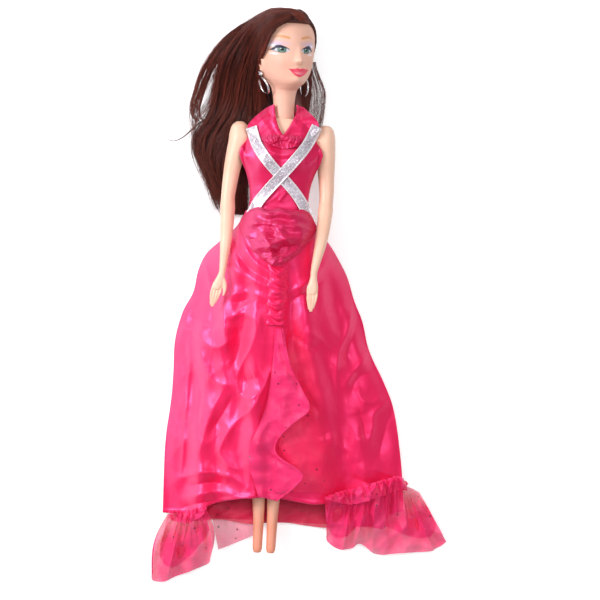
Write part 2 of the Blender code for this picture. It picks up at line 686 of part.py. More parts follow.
def thick_patch(name, under, over, material, parent):
    """A closed body between two grids of points of the same size."""
    mesh = bmesh.new()
    low = [[mesh.verts.new(point) for point in row] for row in under]
    high = [[mesh.verts.new(point) for point in row] for row in over]
    rows, count = len(low), len(low[0])
    for grid in (low, high):
        for r in range(rows - 1):
            for i in range(count - 1):
                mesh.faces.new((grid[r][i], grid[r][i + 1], grid[r + 1][i + 1], grid[r + 1][i]))
    border = [(r, 0) for r in range(rows)]
    border += [(rows - 1, i) for i in range(1, count)]
    border += [(r, count - 1) for r in range(rows - 2, -1, -1)]
    border += [(0, i) for i in range(count - 2, 0, -1)]
    for (r, i), (q, j) in zip(border, border[1:] + border[:1]):
        mesh.faces.new((low[r][i], low[q][j], high[q][j], high[r][i]))
    bmesh.ops.recalc_face_normals(mesh, faces=mesh.faces)
    data = bpy.data.meshes.new(name)
    mesh.to_mesh(data)
    mesh.free()
    data.shade_smooth()
    return place(bpy.data.objects.new(name, data), material, parent)


def hairline(angle):
    """Lowest share of the head's height that hair covers, by angle round the head."""
    face = max(math.sin(angle), 0.0)
    sides = 0.60 + 0.31 * ramp(face, 0.05, 0.80)
    nape = 0.32 + 0.28 * ramp(math.sin(angle), -0.66, -0.36)
    return sides if face > 0 else nape


def make_hair_cap():
    """Rooted hair that lies close over the skull, from the hairline to the crown."""
    columns, levels = 24, 8
    under, over = [], []
    for c in range(columns + 1):
        angle = math.pi / 2 + WRAP * c / columns
        low = hairline(angle)
        inner, outer = [], []
        for level in range(levels + 1):
            share = low + (0.985 - low) * (level / levels) ** 0.8
            inner.append(head_point(angle, share, HAIR_ROOT_GAP))
            swell = 0.35 + 0.65 * ramp(level / levels, 0.0, 0.35)
            lift = HAIR_CAP_THICKNESS * swell
            outer.append(head_point(angle, share, HAIR_ROOT_GAP + lift))
        under.append(inner)
        over.append(outer)
    mesh = bmesh.new()
    rings_in = [[mesh.verts.new(point) for point in row] for row in under[:-1]]
    rings_out = [[mesh.verts.new(point) for point in row] for row in over[:-1]]
    inner_pole = mesh.verts.new((0, HEAD_HEIGHT + HAIR_ROOT_GAP, 0))
    outer_pole = mesh.verts.new((0, HEAD_HEIGHT + HAIR_ROOT_GAP + HAIR_CAP_THICKNESS, 0))
    for c in range(columns):
        n = (c + 1) % columns
        for level in range(levels):
            for grid in (rings_in, rings_out):
                mesh.faces.new((grid[c][level], grid[n][level], grid[n][level + 1],
                                grid[c][level + 1]))
        mesh.faces.new((rings_in[c][levels], rings_in[n][levels], inner_pole))
        mesh.faces.new((rings_out[c][levels], rings_out[n][levels], outer_pole))
        mesh.faces.new((rings_in[c][0], rings_in[n][0], rings_out[n][0], rings_out[c][0]))
    bmesh.ops.recalc_face_normals(mesh, faces=mesh.faces)
    data = bpy.data.meshes.new("hair_cap")
    mesh.to_mesh(data)
    mesh.free()
    data.shade_smooth()
    place(bpy.data.objects.new("hair_cap", data), HAIR_FIBRE, head)


def make_hair_sweep():
    """The long lengths, swept out to the doll's right and passing under its arm."""
    span = HAIR_SWEEP_TOP_HEIGHT - HAIR_SWEEP_END_HEIGHT
    rows = []
    count = 18
    for step in range(19):
        share = step / 18
        outer, inner, floor, roof = smooth(HAIR_SWEEP_SHARES, share)
        left, right = -outer * HAIR_SWEEP_WIDTH, -inner * HAIR_SWEEP_WIDTH
        low, high = floor * HAIR_SWEEP_DEPTH, roof * HAIR_SWEEP_DEPTH
        ring = oval((left + right) / 2, HAIR_SWEEP_END_HEIGHT + share * span,
                    (low + high) / 2, (right - left) / 2, (high - low) / 2, count, 2.4)
        rows.append(ring)
    loft("hair_right_sweep", rows, HAIR_FIBRE, doll)


def strand(name, points, radius, material, parent):
    """A lock as a tube with tapering ends through hand-set points."""
    curve = bpy.data.curves.new(name, "CURVE")
    curve.dimensions = "3D"
    curve.bevel_depth = radius
    curve.bevel_resolution = 1
    curve.use_fill_caps = True
    line = curve.splines.new("POLY")
    line.points.add(len(points) - 1)
    for i, (point, spot) in enumerate(zip(line.points, points)):
        point.co = (*spot, 1)
        share = i / (len(points) - 1)
        point.radius = 1.0 - 0.55 * share
    place(bpy.data.objects.new(name, curve), material, parent)


def make_hair_curl():
    """One loose curl that springs out of the sweep's edge."""
    start = Vector((-HAIR_SWEEP_WIDTH * 0.937, SHOULDER_HEIGHT, HAIR_STRAND_RADIUS * 4))
    points = []
    for i in range(19):
        angle = math.radians(300) * i / 18
        points.append(start + Vector((CURL_RADIUS * ((1.5 - 0.7 * i / 18) * math.cos(angle) - 1.5),
                                      CURL_RADIUS * 0.7 * math.sin(angle),
                                      HAIR_STRAND_RADIUS * 3 * i / 18)))
    strand("hair_curl", points, HAIR_STRAND_RADIUS, HAIR_FIBRE, doll)


def make_hair_wisps():
    """The thin side of the hair, a sheer fall behind the doll's left shoulder."""
    low_height = SHOULDER_HEIGHT + SHOULDER_RADIUS * 0.6
    high_height = NECK_BASE_HEIGHT + HEAD_HEIGHT * 0.58
    under, over = [], []
    for r in range(8):
        share = r / 7
        height = low_height + (high_height - low_height) * share
        inner = HAIR_WISP_WIDTH * (0.45 - 0.07 * ramp(share, 0.5, 1.0))
        outer = HAIR_WISP_WIDTH * (1.0 - 0.28 * ramp(share, 0.55, 1.0) - 0.10 * hill(share, 0, 0.3))
        rise = HAIR_STRAND_RADIUS * (2 + 9.5 * ramp(share, 0.1, 1.0))
        lower, upper = [], []
        for c in range(7):
            x = inner + (outer - inner) * c / 6
            z = rise + HAIR_STRAND_RADIUS * math.sin(c * 1.9 + share * 4)
            lower.append(Vector((x, height, z)))
            upper.append(Vector((x, height, z + 2 * HAIR_STRAND_RADIUS)))
        under.append(lower)
        over.append(upper)
    thick_patch("hair_left_wisps", under, over, HAIR_FIBRE, doll)


# Gown

def over_torso(x, height, clearance):
    """A point a clearance outside the torso's front, at one sideways place and height."""
    width, _, _ = torso_size(height)
    c = min(max(x / (width + clearance), -1.0), 1.0)
    angle = math.acos(math.copysign(abs(c) ** (1 / 0.92), c))
    point = torso_point(angle, height, clearance)
    point.x = x
    return point


BODICE_INNER = TORSO_PARTING_GAP
BODICE_OUTER = BODICE_INNER + CLOTH
BODICE_FOOT = WAIST_HEIGHT - CLOTH * 2
BODICE_SIDE_HEIGHT = SHOULDER_HEIGHT - SHOULDER_RADIUS * 1.45
NECKLINE_HEIGHT = SHOULDER_HEIGHT - SHOULDER_RADIUS * 0.25


def make_bodice():
    """Front of the bodice up to its V, and two back panels that close on a tape."""
    rows = []
    for r in range(13):
        v = r / 12
        first = math.radians(2) + math.radians(33) * ramp(v, 0.60, 1.0)
        row = []
        for c in range(17):
            angle = math.pi - first - (math.pi - 2 * first) * c / 16
            side = min(abs(math.cos(angle)) / math.cos(math.radians(35)), 1.0)
            top = NECKLINE_HEIGHT + SHOULDER_RADIUS * side**1.5
            row.append(torso_point(angle, BODICE_FOOT + (top - BODICE_FOOT) * v, BODICE_INNER))
        rows.append(row)
    cloth("bodice_front", rows, SATIN, doll)
    back_top = BODICE_SIDE_HEIGHT
    for side, name in ((1, "left"), (-1, "right")):
        rows = []
        for r in range(9):
            height = BODICE_FOOT + (back_top - BODICE_FOOT) * r / 8
            row = []
            for c in range(8):
                near = math.radians(3) + (math.pi / 2 - math.radians(6)) * c / 7
                angle = -near if side > 0 else math.pi + near
                row.append(torso_point(angle, height, BODICE_INNER))
            rows.append(row)
        cloth(f"bodice_back_{name}", rows, SATIN, doll, inward=side < 0)
    rows = []
    for r in range(9):
        height = BODICE_FOOT + CLOTH + (back_top - BODICE_FOOT - 2 * CLOTH) * r / 8
        row = []
        for c in range(3):
            x = TAPE_WIDTH * (c / 2 - 0.5)
            _, _, back = torso_size(height)
            row.append(Vector((x, height, BODY_RISE - back - BODICE_OUTER - CLOTH)))
        rows.append(row)
    cloth("back_closure_tape", rows, TAPE_FABRIC, doll, TULLE, inward=True)


def collar_edges(t):
    """Inner and outer edge of one lapel, from the neck's side to the V's foot."""
    neck_side = NECK_PEG_RADIUS + HEAD_WALL + NECK_FOOT_GAP * 2
    inner = (neck_side * (1 - t) ** 0.8 + CLOTH * t,
             NECK_BASE_HEIGHT - (NECK_BASE_HEIGHT - NECKLINE_HEIGHT) * t)
    wing = math.sin(math.pi * min(t / 0.9, 1.0)) ** 0.8
    outer = (inner[0] + CLOTH * 2 + (COLLAR_REACH - neck_side) * wing * (1 - 0.30 * t),
             inner[1] - SHOULDER_RADIUS * (0.10 + 0.30 * wing) * t)
    return inner, outer


def make_collar():
    """The halter's two turned-down lapels and the strap behind the neck."""
    for side, name in ((1, "left"), (-1, "right")):
        rows = []
        for r in range(11):
            inner, outer = collar_edges(0.97 * (1 - r / 10))
            row = []
            for c in range(7):
                u = c / 6 if side > 0 else 1 - c / 6
                x = inner[0] + (outer[0] - inner[0]) * u
                height = inner[1] + (outer[1] - inner[1]) * u
                point = over_torso(x, height, BODICE_OUTER + CLOTH)
                shoulder = BODY_RISE + SHOULDER_RADIUS + CLOTH
                rest = ramp(x, TORSO_HALF_WIDTH * 0.40, TORSO_HALF_WIDTH * 0.62)
                point.z = max(point.z, shoulder * rest) + CLOTH * 0.6 * math.sin(math.pi * u)
                row.append(Vector((side * x, height, point.z)))
            rows.append(row)
        cloth(f"collar_{name}", rows, SATIN, doll)
    strap_radius = HEAD_HALF_WIDTH * 0.40 + NECK_FOOT_GAP
    under, over = [], []
    for r in range(3):
        height = NECK_BASE_HEIGHT + NECK_FOOT_GAP * 2 + TAPE_WIDTH * 0.5 * r / 2
        lower, upper = [], []
        for c in range(11):
            angle = math.radians(188) + math.radians(164) * c / 10
            for ring, radius in ((lower, strap_radius), (upper, strap_radius + CLOTH)):
                ring.append(Vector((radius * math.cos(angle), height,
                                    BODY_RISE + NECK_FOOT_GAP + radius * math.sin(angle))))
        under.append(lower)
        over.append(upper)
    thick_patch("halter_strap", under, over, SATIN, doll)


def make_neckline_gather():
    """The pleats bunched into the foot of the V."""
    rows = []
    for r in range(4):
        height = NECKLINE_HEIGHT - CLOTH * 2 - SHOULDER_RADIUS * 0.7 * (1 - r / 3)
        row = []
        for c in range(17):
            x = RUCHE_WIDTH * 0.50 * (c / 8 - 1)
            point = over_torso(x, height, BODICE_OUTER + CLOTH)
            pleat = 0.5 + 0.5 * math.cos(math.pi * c / 2)
            row.append(point + Vector((0, 0, RUCHE_RISE * 0.5 * pleat)))
        rows.append(row)
    cloth("neckline_gather", rows, SATIN, doll)


def make_ribbons():
    """Two glitter ribbons crossed over the chest; the one from the left shoulder is on top."""
    foot = WAIST_HEIGHT + RIBBON_WIDTH * 0.70
    top = NECKLINE_HEIGHT
    for name, side, lift in (("ribbon_under", -1, 1.6), ("ribbon_over", 1, 2.9)):
        rows = []
        for r in range(17):
            t = r / 16
            height = foot + (top - foot) * t
            middle = side * TORSO_HALF_WIDTH * (1.24 * t - 0.60)
            row = []
            for c in range(4):
                x = middle + RIBBON_WIDTH * 0.81 * (c / 3 - 0.5)
                slope = -side * RIBBON_WIDTH * 0.58 * (c / 3 - 0.5)
                row.append(over_torso(x, height + slope, BODICE_OUTER + CLOTH * lift))
            rows.append(row)
        cloth(name, rows, GLITTER_RIBBON, doll, TULLE)


def skirt_reach(share):
    return smooth(SKIRT_SHARES, share)


def skirt_z(side_share, down):
    """Under side of the front skirt; side_share -1 at the right seam, 1 at the left."""
    _, _, edge, crown = skirt_reach(1 - down)
    power = 2.3 - 0.45 * hill(down, 0.27, 0.09) - 0.40 * ramp(down, 0.30, 0.60)
    dome = 1 - abs(side_share) ** power
    waist_round = math.sqrt(1 - min(side_share**2, 1.0))
    dome += (waist_round - dome) * (1 - ramp(down, 0.0, 0.14))
    z = SKIRT_CROWN * (edge + (crown - edge) * dome)
    fullness = ramp(down, 0.05, 0.45) * (1 - abs(side_share) ** 5)
    folds = math.cos(13 * side_share + 2.2 * down) + 0.5 * math.cos(23 * side_share - 5 * down)
    return z + SKIRT_FOLD * folds * fullness


def skirt_x(side_share, down):
    left, right, _, _ = skirt_reach(1 - down)
    return side_share * (right * SKIRT_LEFT_WIDTH if side_share > 0 else left * SKIRT_RIGHT_WIDTH)


def drop_share(height):
    return (WAIST_HEIGHT - height) / (WAIST_HEIGHT - SKIRT_HEM_HEIGHT)


def over_skirt(x, height, lift):
    """Height of a sheet that lies over the skirt's folds at one place."""
    found = 0.0
    for step_x in (-1, 0, 1):
        for step_y in (-1, 0, 1):
            down = min(max(drop_share(height + step_y * SKIRT_FOLD), 0.0), 1.0)
            left, right, _, _ = skirt_reach(1 - down)
            place_x = x + step_x * SKIRT_FOLD
            reach = right * SKIRT_LEFT_WIDTH if place_x > 0 else left * SKIRT_RIGHT_WIDTH
            side_share = min(max(place_x / reach, -1.0), 1.0)
            found = max(found, skirt_z(side_share, down))
    return found + CLOTH + lift


def hem_height(side_share):
    """Height of the front hem, which is caught up at the middle."""
    lift = SKIRT_HEM_HEIGHT * 0.67 * (1 - min(abs(side_share) / 0.75, 1.0) ** 2)
    return SKIRT_HEM_HEIGHT * (1 + 1.2 * ramp(side_share, 0.30, 0.95)) + lift


def front_panel(name, first, last, columns):
    rows = []
    for r in range(18):
        row = []
        for c in range(columns + 1):
            side_share = first + (last - first) * c / columns
            low = hem_height(side_share)
            height = low + (WAIST_HEIGHT - low) * r / 17
            down = drop_share(height)
            row.append(Vector((skirt_x(side_share, down), height, skirt_z(side_share, down))))
        rows.append(row)
    cloth(name, rows, SATIN, doll)


def back_z(side_share, height):
    """Under side of the back skirt: round the waist, then flat on the table."""
    _, _, edge, _ = skirt_reach(1 - drop_share(height))
    settle = ramp(height, WAIST_HEIGHT * 0.72, WAIST_HEIGHT)
    _, _, back = torso_size(max(height, CROTCH_HEIGHT))
    side_z = max(edge * SKIRT_CROWN - CLOTH - 2 * RUNNING_GAP, 0)
    middle_z = BODY_RISE - back - BODICE_OUTER - TULLE - 3 * CLOTH
    low = min(side_z, middle_z)
    round_z = side_z - (side_z - low) * (1 - abs(side_share) ** 2.6) ** (1 / 2.6)
    return max(round_z * settle**0.5, 0) if height > WAIST_HEIGHT * 0.72 else 0.0


def make_skirt():
    """Front panels either side of the gathered seam, and the back panel under the doll."""
    front_panel("skirt_front_right", -1.0, 0.012, 13)
    front_panel("skirt_front_left", 0.030, 1.0, 13)
    rows = []
    for r in range(14):
        row = []
        for c in range(13):
            side_share = -1 + c / 6
            low = BACK_HEM_HEIGHT
            height = low + (WAIST_HEIGHT - low) * r / 13
            down = drop_share(max(height, SKIRT_HEM_HEIGHT))
            x = skirt_x(side_share, down)
            x += side_share * 2 * CLOTH * ramp(height, HIP_HEIGHT, WAIST_HEIGHT)
            row.append(Vector((x, height, back_z(side_share, height))))
        rows.append(row)
    cloth("skirt_back", rows, SATIN, doll)


def make_lining():
    """The dark net lining that shows behind the legs."""
    rows = []
    for r in range(9):
        height = BACK_HEM_HEIGHT * 1.2 + (CROTCH_HEIGHT * 0.8 - BACK_HEM_HEIGHT) * r / 8
        row = []
        for c in range(11):
            side_share = (c / 5 - 1) * 0.86
            down = drop_share(max(height, SKIRT_HEM_HEIGHT))
            wave = TULLE * 0.5 * (1 + math.sin(7 * side_share + 3 * r / 8))
            row.append(Vector((skirt_x(side_share, down), height,
                               CLOTH + RUNNING_GAP * 2 + wave)))
        rows.append(row)
    cloth("lining", rows, DOTTED_TULLE, doll, TULLE)


def make_drape():
    """The swirl of gathered satin below the waist."""
    rows = []
    low = HIP_HEIGHT - RUCHE_WIDTH * 0.2
    high = WAIST_HEIGHT + CLOTH
    for r in range(13):
        v = r / 12
        height = low + (high - low) * v
        half = TORSO_HALF_WIDTH * (0.34 + 0.40 * math.sin(math.pi * min(v * 0.62, 1.0)))
        row = []
        for c in range(15):
            u = c / 7 - 1
            x = half * u
            swirl = math.cos(math.hypot(2.4 * u, 5 * (v - 0.45)) * 4.2 + 1.4 * math.atan2(
                v - 0.45, u * 0.5 + 0.01))
            lift = RUNNING_GAP + DRAPE_RISE * (0.5 + 0.5 * swirl) * (1 - u**4)
            row.append(Vector((x, height, over_skirt(x, min(height, WAIST_HEIGHT), lift))))
        rows.append(row)
    cloth("waist_drape", rows, SATIN, doll)


RUCHE_TOP = HIP_HEIGHT - RUCHE_WIDTH * 0.35
RUCHE_FOOT = HIP_HEIGHT - RUCHE_WIDTH * 3.5
FLOUNCE_FOOT = SKIRT_HEM_HEIGHT * 1.7


def make_ruche():
    """The gathered strip down the middle front."""
    rows = []
    for r in range(25):
        v = r / 24
        height = RUCHE_FOOT + (RUCHE_TOP - RUCHE_FOOT) * v
        row = []
        for c in range(5):
            u = c / 2 - 1
            x = RUCHE_WIDTH * (0.21 + 0.5 * u)
            gather = 0.5 + 0.5 * math.cos(math.pi * r / 2 + 1.1 * math.cos(2 * u))
            lift = RUNNING_GAP + RUCHE_RISE * gather * (1 - 0.8 * u * u)
            row.append(Vector((x, height, over_skirt(x, height, lift))))
        rows.append(row)
    cloth("centre_ruche", rows, SATIN, doll)


# flounce: share of its length from the foot, seam's place, free edge's place, lift
FLOUNCE_SHARES = [
    (0.00, -0.30, 0.55, 0.30), (0.10, -0.62, 1.60, 0.90), (0.18, -0.86, 2.00, 1.00),
    (0.28, -0.90, 0.60, 0.35), (0.36, -0.70, 0.55, 0.30), (0.46, -0.35, 1.30, 0.75),
    (0.55, -0.10, 2.20, 1.00), (0.66, 0.02, 1.75, 0.90), (0.80, 0.12, 1.05, 0.55),
    (1.00, 0.20, 0.55, 0.20),
]


def make_flounce():
    """The scalloped net frill that falls from the gathered strip to the hem."""
    rows = []
    for r in range(27):
        t = r / 26
        seam, free, lift = smooth(FLOUNCE_SHARES, t)
        height = FLOUNCE_FOOT + (RUCHE_FOOT - CLOTH * 2 - FLOUNCE_FOOT) * t
        row = []
        for c in range(7):
            u = c / 6
            x = RUCHE_WIDTH * (seam + (free - seam) * u)
            dip = RUCHE_WIDTH * 0.30 * u * u * (1 - t)
            wave = 0.5 + 0.5 * math.sin(9 * u + 21 * t)
            rise = RUNNING_GAP + CLOTH * 2.2 * ramp(u, 0.0, 0.3)
            rise += RUCHE_RISE * (1.3 * lift * u**1.5 + 0.7 * wave * u)
            row.append(Vector((x, height - dip, over_skirt(x, height - dip, rise))))
        rows.append(row)
    cloth("centre_flounce", rows, DOTTED_TULLE, doll, TULLE)


def make_overlay():
    """The dark net laid over the left front, beside the flounce."""
    rows = []
    low = SKIRT_HEM_HEIGHT * 1.9
    high = HIP_HEIGHT * 0.80
    for r in range(11):
        v = r / 10
        height = low + (high - low) * v
        row = []
        for c in range(9):
            u = c / 8
            inner = RUCHE_WIDTH * (0.95 - 0.35 * (1 - v))
            outer = RUCHE_WIDTH * (1.5 + 2.7 * (1 - v) ** 0.7)
            x = inner + (outer - inner) * u
            row.append(Vector((x, height, over_skirt(x, height, CLOTH * 0.5))))
        rows.append(row)
    cloth("net_overlay", rows, DOTTED_TULLE, doll, TULLE)


def ruffle(name, seam, free, columns, levels, waves, rise):
    """A net ruffle between a gathered seam and a free edge, each a list of (x, height, z)."""
    rows = []
    for r in range(levels + 1):
        v = r / levels
        row = []
        for c in range(columns + 1):
            u = c / columns
            a = path_at(free, u)
            b = path_at(seam, u)
            point = a.lerp(b, v)
            wave = 0.5 + 0.5 * math.sin(waves * WRAP * u)
            point.z += rise * wave * math.sin(math.pi * (0.25 + 0.6 * v))
            row.append(point)
        rows.append(row)
    cloth(name, rows, DOTTED_TULLE, doll, TULLE)


def path_at(points, u):
    spot = u * (len(points) - 1)
    index = min(int(spot), len(points) - 2)
    return Vector(points[index]).lerp(Vector(points[index + 1]), spot - index)


def make_hem_ruffles():
    hem = SKIRT_HEM_HEIGHT
    floor = CLOTH + TULLE
    left = SKIRT_LEFT_WIDTH
    lift = CLOTH * 1.5
    seam = [(left * 0.43, hem * 1.75), (left * 0.62, hem * 1.80), (left * 0.80, hem * 2.05),
            (left * 0.95, hem * 2.25), (left * 1.10, hem * 2.00)]
    seam = [(x, y, over_skirt(x, y, lift) if x < left * 0.98 else floor) for x, y in seam]
    free = [(left * 0.43, hem * 0.40, floor), (left * 0.68, hem * 0.06, floor),
            (left * 0.95, hem * 0.10, floor), (left * 1.20, hem * 0.35, floor),
            (TULLE_LEFT_REACH, hem * 0.52, floor)]
    ruffle("hem_ruffle_left", seam, free, 28, 5, 7, RUCHE_RISE * 1.6)
    right = SKIRT_RIGHT_WIDTH
    shares = (-0.98, -0.90, -0.82, -0.74, -0.66, -0.58)
    seam = [(share * right, hem_height(share) - 2 * RUNNING_GAP,
             skirt_z(share, drop_share(hem_height(share)))) for share in shares]
    free = [(TULLE - TULLE_RIGHT_REACH, -hem * 0.90, floor), (-right * 0.95, -TULLE_LOW_REACH, floor),
            (-right * 0.46, -hem * 0.46, floor)]
    ruffle("hem_ruffle_right", seam, free, 18, 5, 4, RUCHE_RISE * 1.4)
    hem_edge = BACK_HEM_HEIGHT - RUNNING_GAP
    seam = [(-right * 0.50, hem_edge, CLOTH), (-right * 0.16, hem_edge, CLOTH)]
    free = [(-right * 0.42, -hem * 0.28, CLOTH), (-right * 0.16, hem * 0.27, CLOTH)]
    ruffle("hem_net_middle", seam, free, 10, 3, 2, RUCHE_RISE * 0.5)


neck = empty("neck", (0, NECK_BASE_HEIGHT, BODY_RISE), doll, (HEAD_NOD, 0, 0))
head = empty("head", (0, 0, 0), neck, (0, HEAD_TURN, 0))
make_torso()
make_hip_pin()
make_neck_peg()
for side, name in ((1, "left"), (-1, "right")):
    make_leg(side, name)
    make_arm(side, name)
    make_earring(side, name)
make_head()
make_hair_cap()
make_hair_sweep()
make_hair_curl()
make_hair_wisps()
make_bodice()
make_collar()
make_neckline_gather()
make_ribbons()
make_skirt()
make_lining()
make_drape()
make_ruche()
make_flounce()
make_overlay()
make_hem_ruffles()
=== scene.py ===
import math

import bmesh
import bpy
import numpy as np
from mathutils import Matrix, Vector
from mathutils.bvhtree import BVHTree


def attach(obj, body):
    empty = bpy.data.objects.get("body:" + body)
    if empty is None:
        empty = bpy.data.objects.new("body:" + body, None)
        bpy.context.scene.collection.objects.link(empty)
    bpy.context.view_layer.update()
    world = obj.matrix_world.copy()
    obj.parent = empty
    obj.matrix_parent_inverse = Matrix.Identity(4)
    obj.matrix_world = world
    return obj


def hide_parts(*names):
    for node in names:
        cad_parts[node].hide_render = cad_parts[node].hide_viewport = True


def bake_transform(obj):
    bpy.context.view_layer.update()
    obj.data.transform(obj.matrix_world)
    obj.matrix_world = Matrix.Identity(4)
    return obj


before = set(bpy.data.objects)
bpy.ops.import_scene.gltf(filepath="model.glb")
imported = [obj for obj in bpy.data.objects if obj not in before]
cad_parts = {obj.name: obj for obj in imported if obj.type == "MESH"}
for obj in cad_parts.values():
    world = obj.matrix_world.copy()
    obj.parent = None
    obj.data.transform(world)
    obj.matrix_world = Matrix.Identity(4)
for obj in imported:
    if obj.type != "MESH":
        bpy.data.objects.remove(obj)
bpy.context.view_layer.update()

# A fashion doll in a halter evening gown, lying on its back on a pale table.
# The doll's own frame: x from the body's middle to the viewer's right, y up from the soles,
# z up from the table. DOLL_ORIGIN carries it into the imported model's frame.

DOLL_ORIGIN = Vector((-0.0198, -0.136177, 0.0))
MM = 0.001
TURN = 2 * math.pi
SEED = 7

# Heights on the doll
NECK_BASE_HEIGHT = 0.2330
SHOULDER_HEIGHT = NECK_BASE_HEIGHT * 0.9485
WAIST_HEIGHT = NECK_BASE_HEIGHT * 0.7854
HIP_HEIGHT = NECK_BASE_HEIGHT * 0.6738
CROTCH_HEIGHT = NECK_BASE_HEIGHT * 0.6352
BODY_RISE = 0.0180
RUNNING_GAP = 0.0003
CLOTH = 0.0008
TULLE = 0.0006

# Torso, legs, arms
TORSO_HALF_WIDTH = 0.0213
TORSO_FRONT_DEPTH = 0.0115
TORSO_BACK_DEPTH = 0.0120
TORSO_LENGTH = NECK_BASE_HEIGHT - CROTCH_HEIGHT
TORSO_WALL = 0.0012
TORSO_PARTING_GAP = 0.0006
BUST_RISE = 0.0042
BUST_SPACING = 0.0086
BUST_RADIUS = 0.0068
BUST_HEIGHT = NECK_BASE_HEIGHT * 0.9034
LEG_OPENING_RADIUS = 0.0140
HIP_WEB_HALF_WIDTH = 0.0034
LEG_DISC_RADIUS = 0.0110
LEG_OUTER_REACH = 0.0208
LEG_HALF_WIDTH = 0.0076
LEG_HALF_DEPTH = 0.0088
LEG_HIP_SPREAD = 0.0122
LEG_HEEL_DROP = 0.0108
SHOULDER_HALF_SPAN = 0.0231
SHOULDER_RADIUS = 0.0056
PEG_RADIUS = 0.0030
ARM_HALF_WIDTH = 0.0056
ARM_HALF_DEPTH = 0.0060
ARM_LENGTH = NECK_BASE_HEIGHT * 0.3876
ARM_RIGHT_DRIFT = 0.0094
ARM_LEFT_DRIFT = 0.0044
ARM_RIGHT_RISE = 0.0098
ARM_LEFT_RISE = 0.0155

# Head
HEAD_TURN = math.radians(27)
HEAD_NOD = math.radians(7)
HEAD_HEIGHT = 0.0560
HEAD_HALF_WIDTH = 0.0144
HEAD_FRONT_DEPTH = 0.0156
HEAD_BACK_DEPTH = 0.0168
NECK_PEG_RADIUS = 0.0030
NECK_PEG_REACH = 0.0110
NECK_FOOT_GAP = 0.0009
NOSE_RISE = 0.0026
LIP_RISE = 0.0009
CHIN_RISE = 0.0013
EYE_HOLLOW = 0.0009
EARRING_HEIGHT = 0.0236
EARRING_SETBACK = 0.0030
STUD_RADIUS = 0.0013
HOOP_RADIUS = 0.0046
HOOP_WIRE_RADIUS = 0.0005
HOOP_LEAN = math.radians(24)
HAIR_ROOT_GAP = 0.0008
HAIR_CAP_THICKNESS = 0.0030
HAIR_SWEEP_WIDTH = 0.0510
HAIR_SWEEP_END_HEIGHT = NECK_BASE_HEIGHT * 0.7554
HAIR_SWEEP_TOP_HEIGHT = NECK_BASE_HEIGHT + HEAD_HEIGHT * 0.9286
HAIR_SWEEP_DEPTH = 0.0240
HAIR_WISP_WIDTH = 0.0222

# Gown
SKIRT_RIGHT_WIDTH = 0.0528
SKIRT_LEFT_WIDTH = 0.0760
SKIRT_CROWN = 0.0345
SKIRT_HEM_HEIGHT = 0.0180
SKIRT_FOLD = 0.0021
BACK_HEM_HEIGHT = 0.0160
RIBBON_WIDTH = 0.0058
RUCHE_WIDTH = 0.0098
RUCHE_RISE = 0.0020
DRAPE_RISE = 0.0026
TAPE_WIDTH = 0.0050
BODICE_INNER = TORSO_PARTING_GAP
BODICE_OUTER = BODICE_INNER + CLOTH
BODICE_FOOT = WAIST_HEIGHT - CLOTH * 2
BODICE_SIDE_HEIGHT = SHOULDER_HEIGHT - SHOULDER_RADIUS * 1.45
NECKLINE_HEIGHT = SHOULDER_HEIGHT - SHOULDER_RADIUS * 0.25

# Outlines in shares of the sizes above
# torso: height, half width, front depth, back depth
TORSO_SHARES = [
    (0.000, 0.24, 0.26, 0.26), (0.047, 0.58, 0.52, 0.62), (0.106, 0.90, 0.78, 0.94),
    (0.176, 1.00, 0.88, 1.00), (0.260, 0.92, 0.87, 0.88), (0.353, 0.76, 0.78, 0.68),
    (0.460, 0.69, 0.71, 0.62), (0.553, 0.71, 0.75, 0.67), (0.647, 0.78, 0.87, 0.75),
    (0.741, 0.80, 0.95, 0.79), (0.824, 0.80, 0.91, 0.79), (0.894, 0.80, 0.76, 0.71),
    (0.941, 0.82, 0.64, 0.60), (0.972, 0.78, 0.57, 0.53), (0.988, 0.69, 0.53, 0.50),
    (0.998, 0.50, 0.50, 0.48), (1.000, 0.34, 0.50, 0.48),
]
# leg: height, sideways place, half width, half depth, share of the drop from hip to heel
LEG_SHARES = [
    (0.000, 0.295, 0.20, 0.16, 0.62), (0.012, 0.295, 0.27, 0.26, 0.66),
    (0.055, 0.298, 0.29, 0.30, 0.78), (0.095, 0.300, 0.31, 0.38, 0.92),
    (0.130, 0.308, 0.33, 0.42, 0.98), (0.175, 0.325, 0.38, 0.40, 0.93),
    (0.270, 0.378, 0.53, 0.51, 0.76), (0.370, 0.430, 0.64, 0.63, 0.62),
    (0.450, 0.462, 0.66, 0.62, 0.50), (0.525, 0.490, 0.66, 0.62, 0.40),
    (0.600, 0.534, 0.70, 0.67, 0.31), (0.720, 0.630, 0.80, 0.80, 0.17),
    (0.850, 0.750, 0.90, 0.93, 0.06), (0.955, 0.900, 0.96, 0.98, 0.00),
]
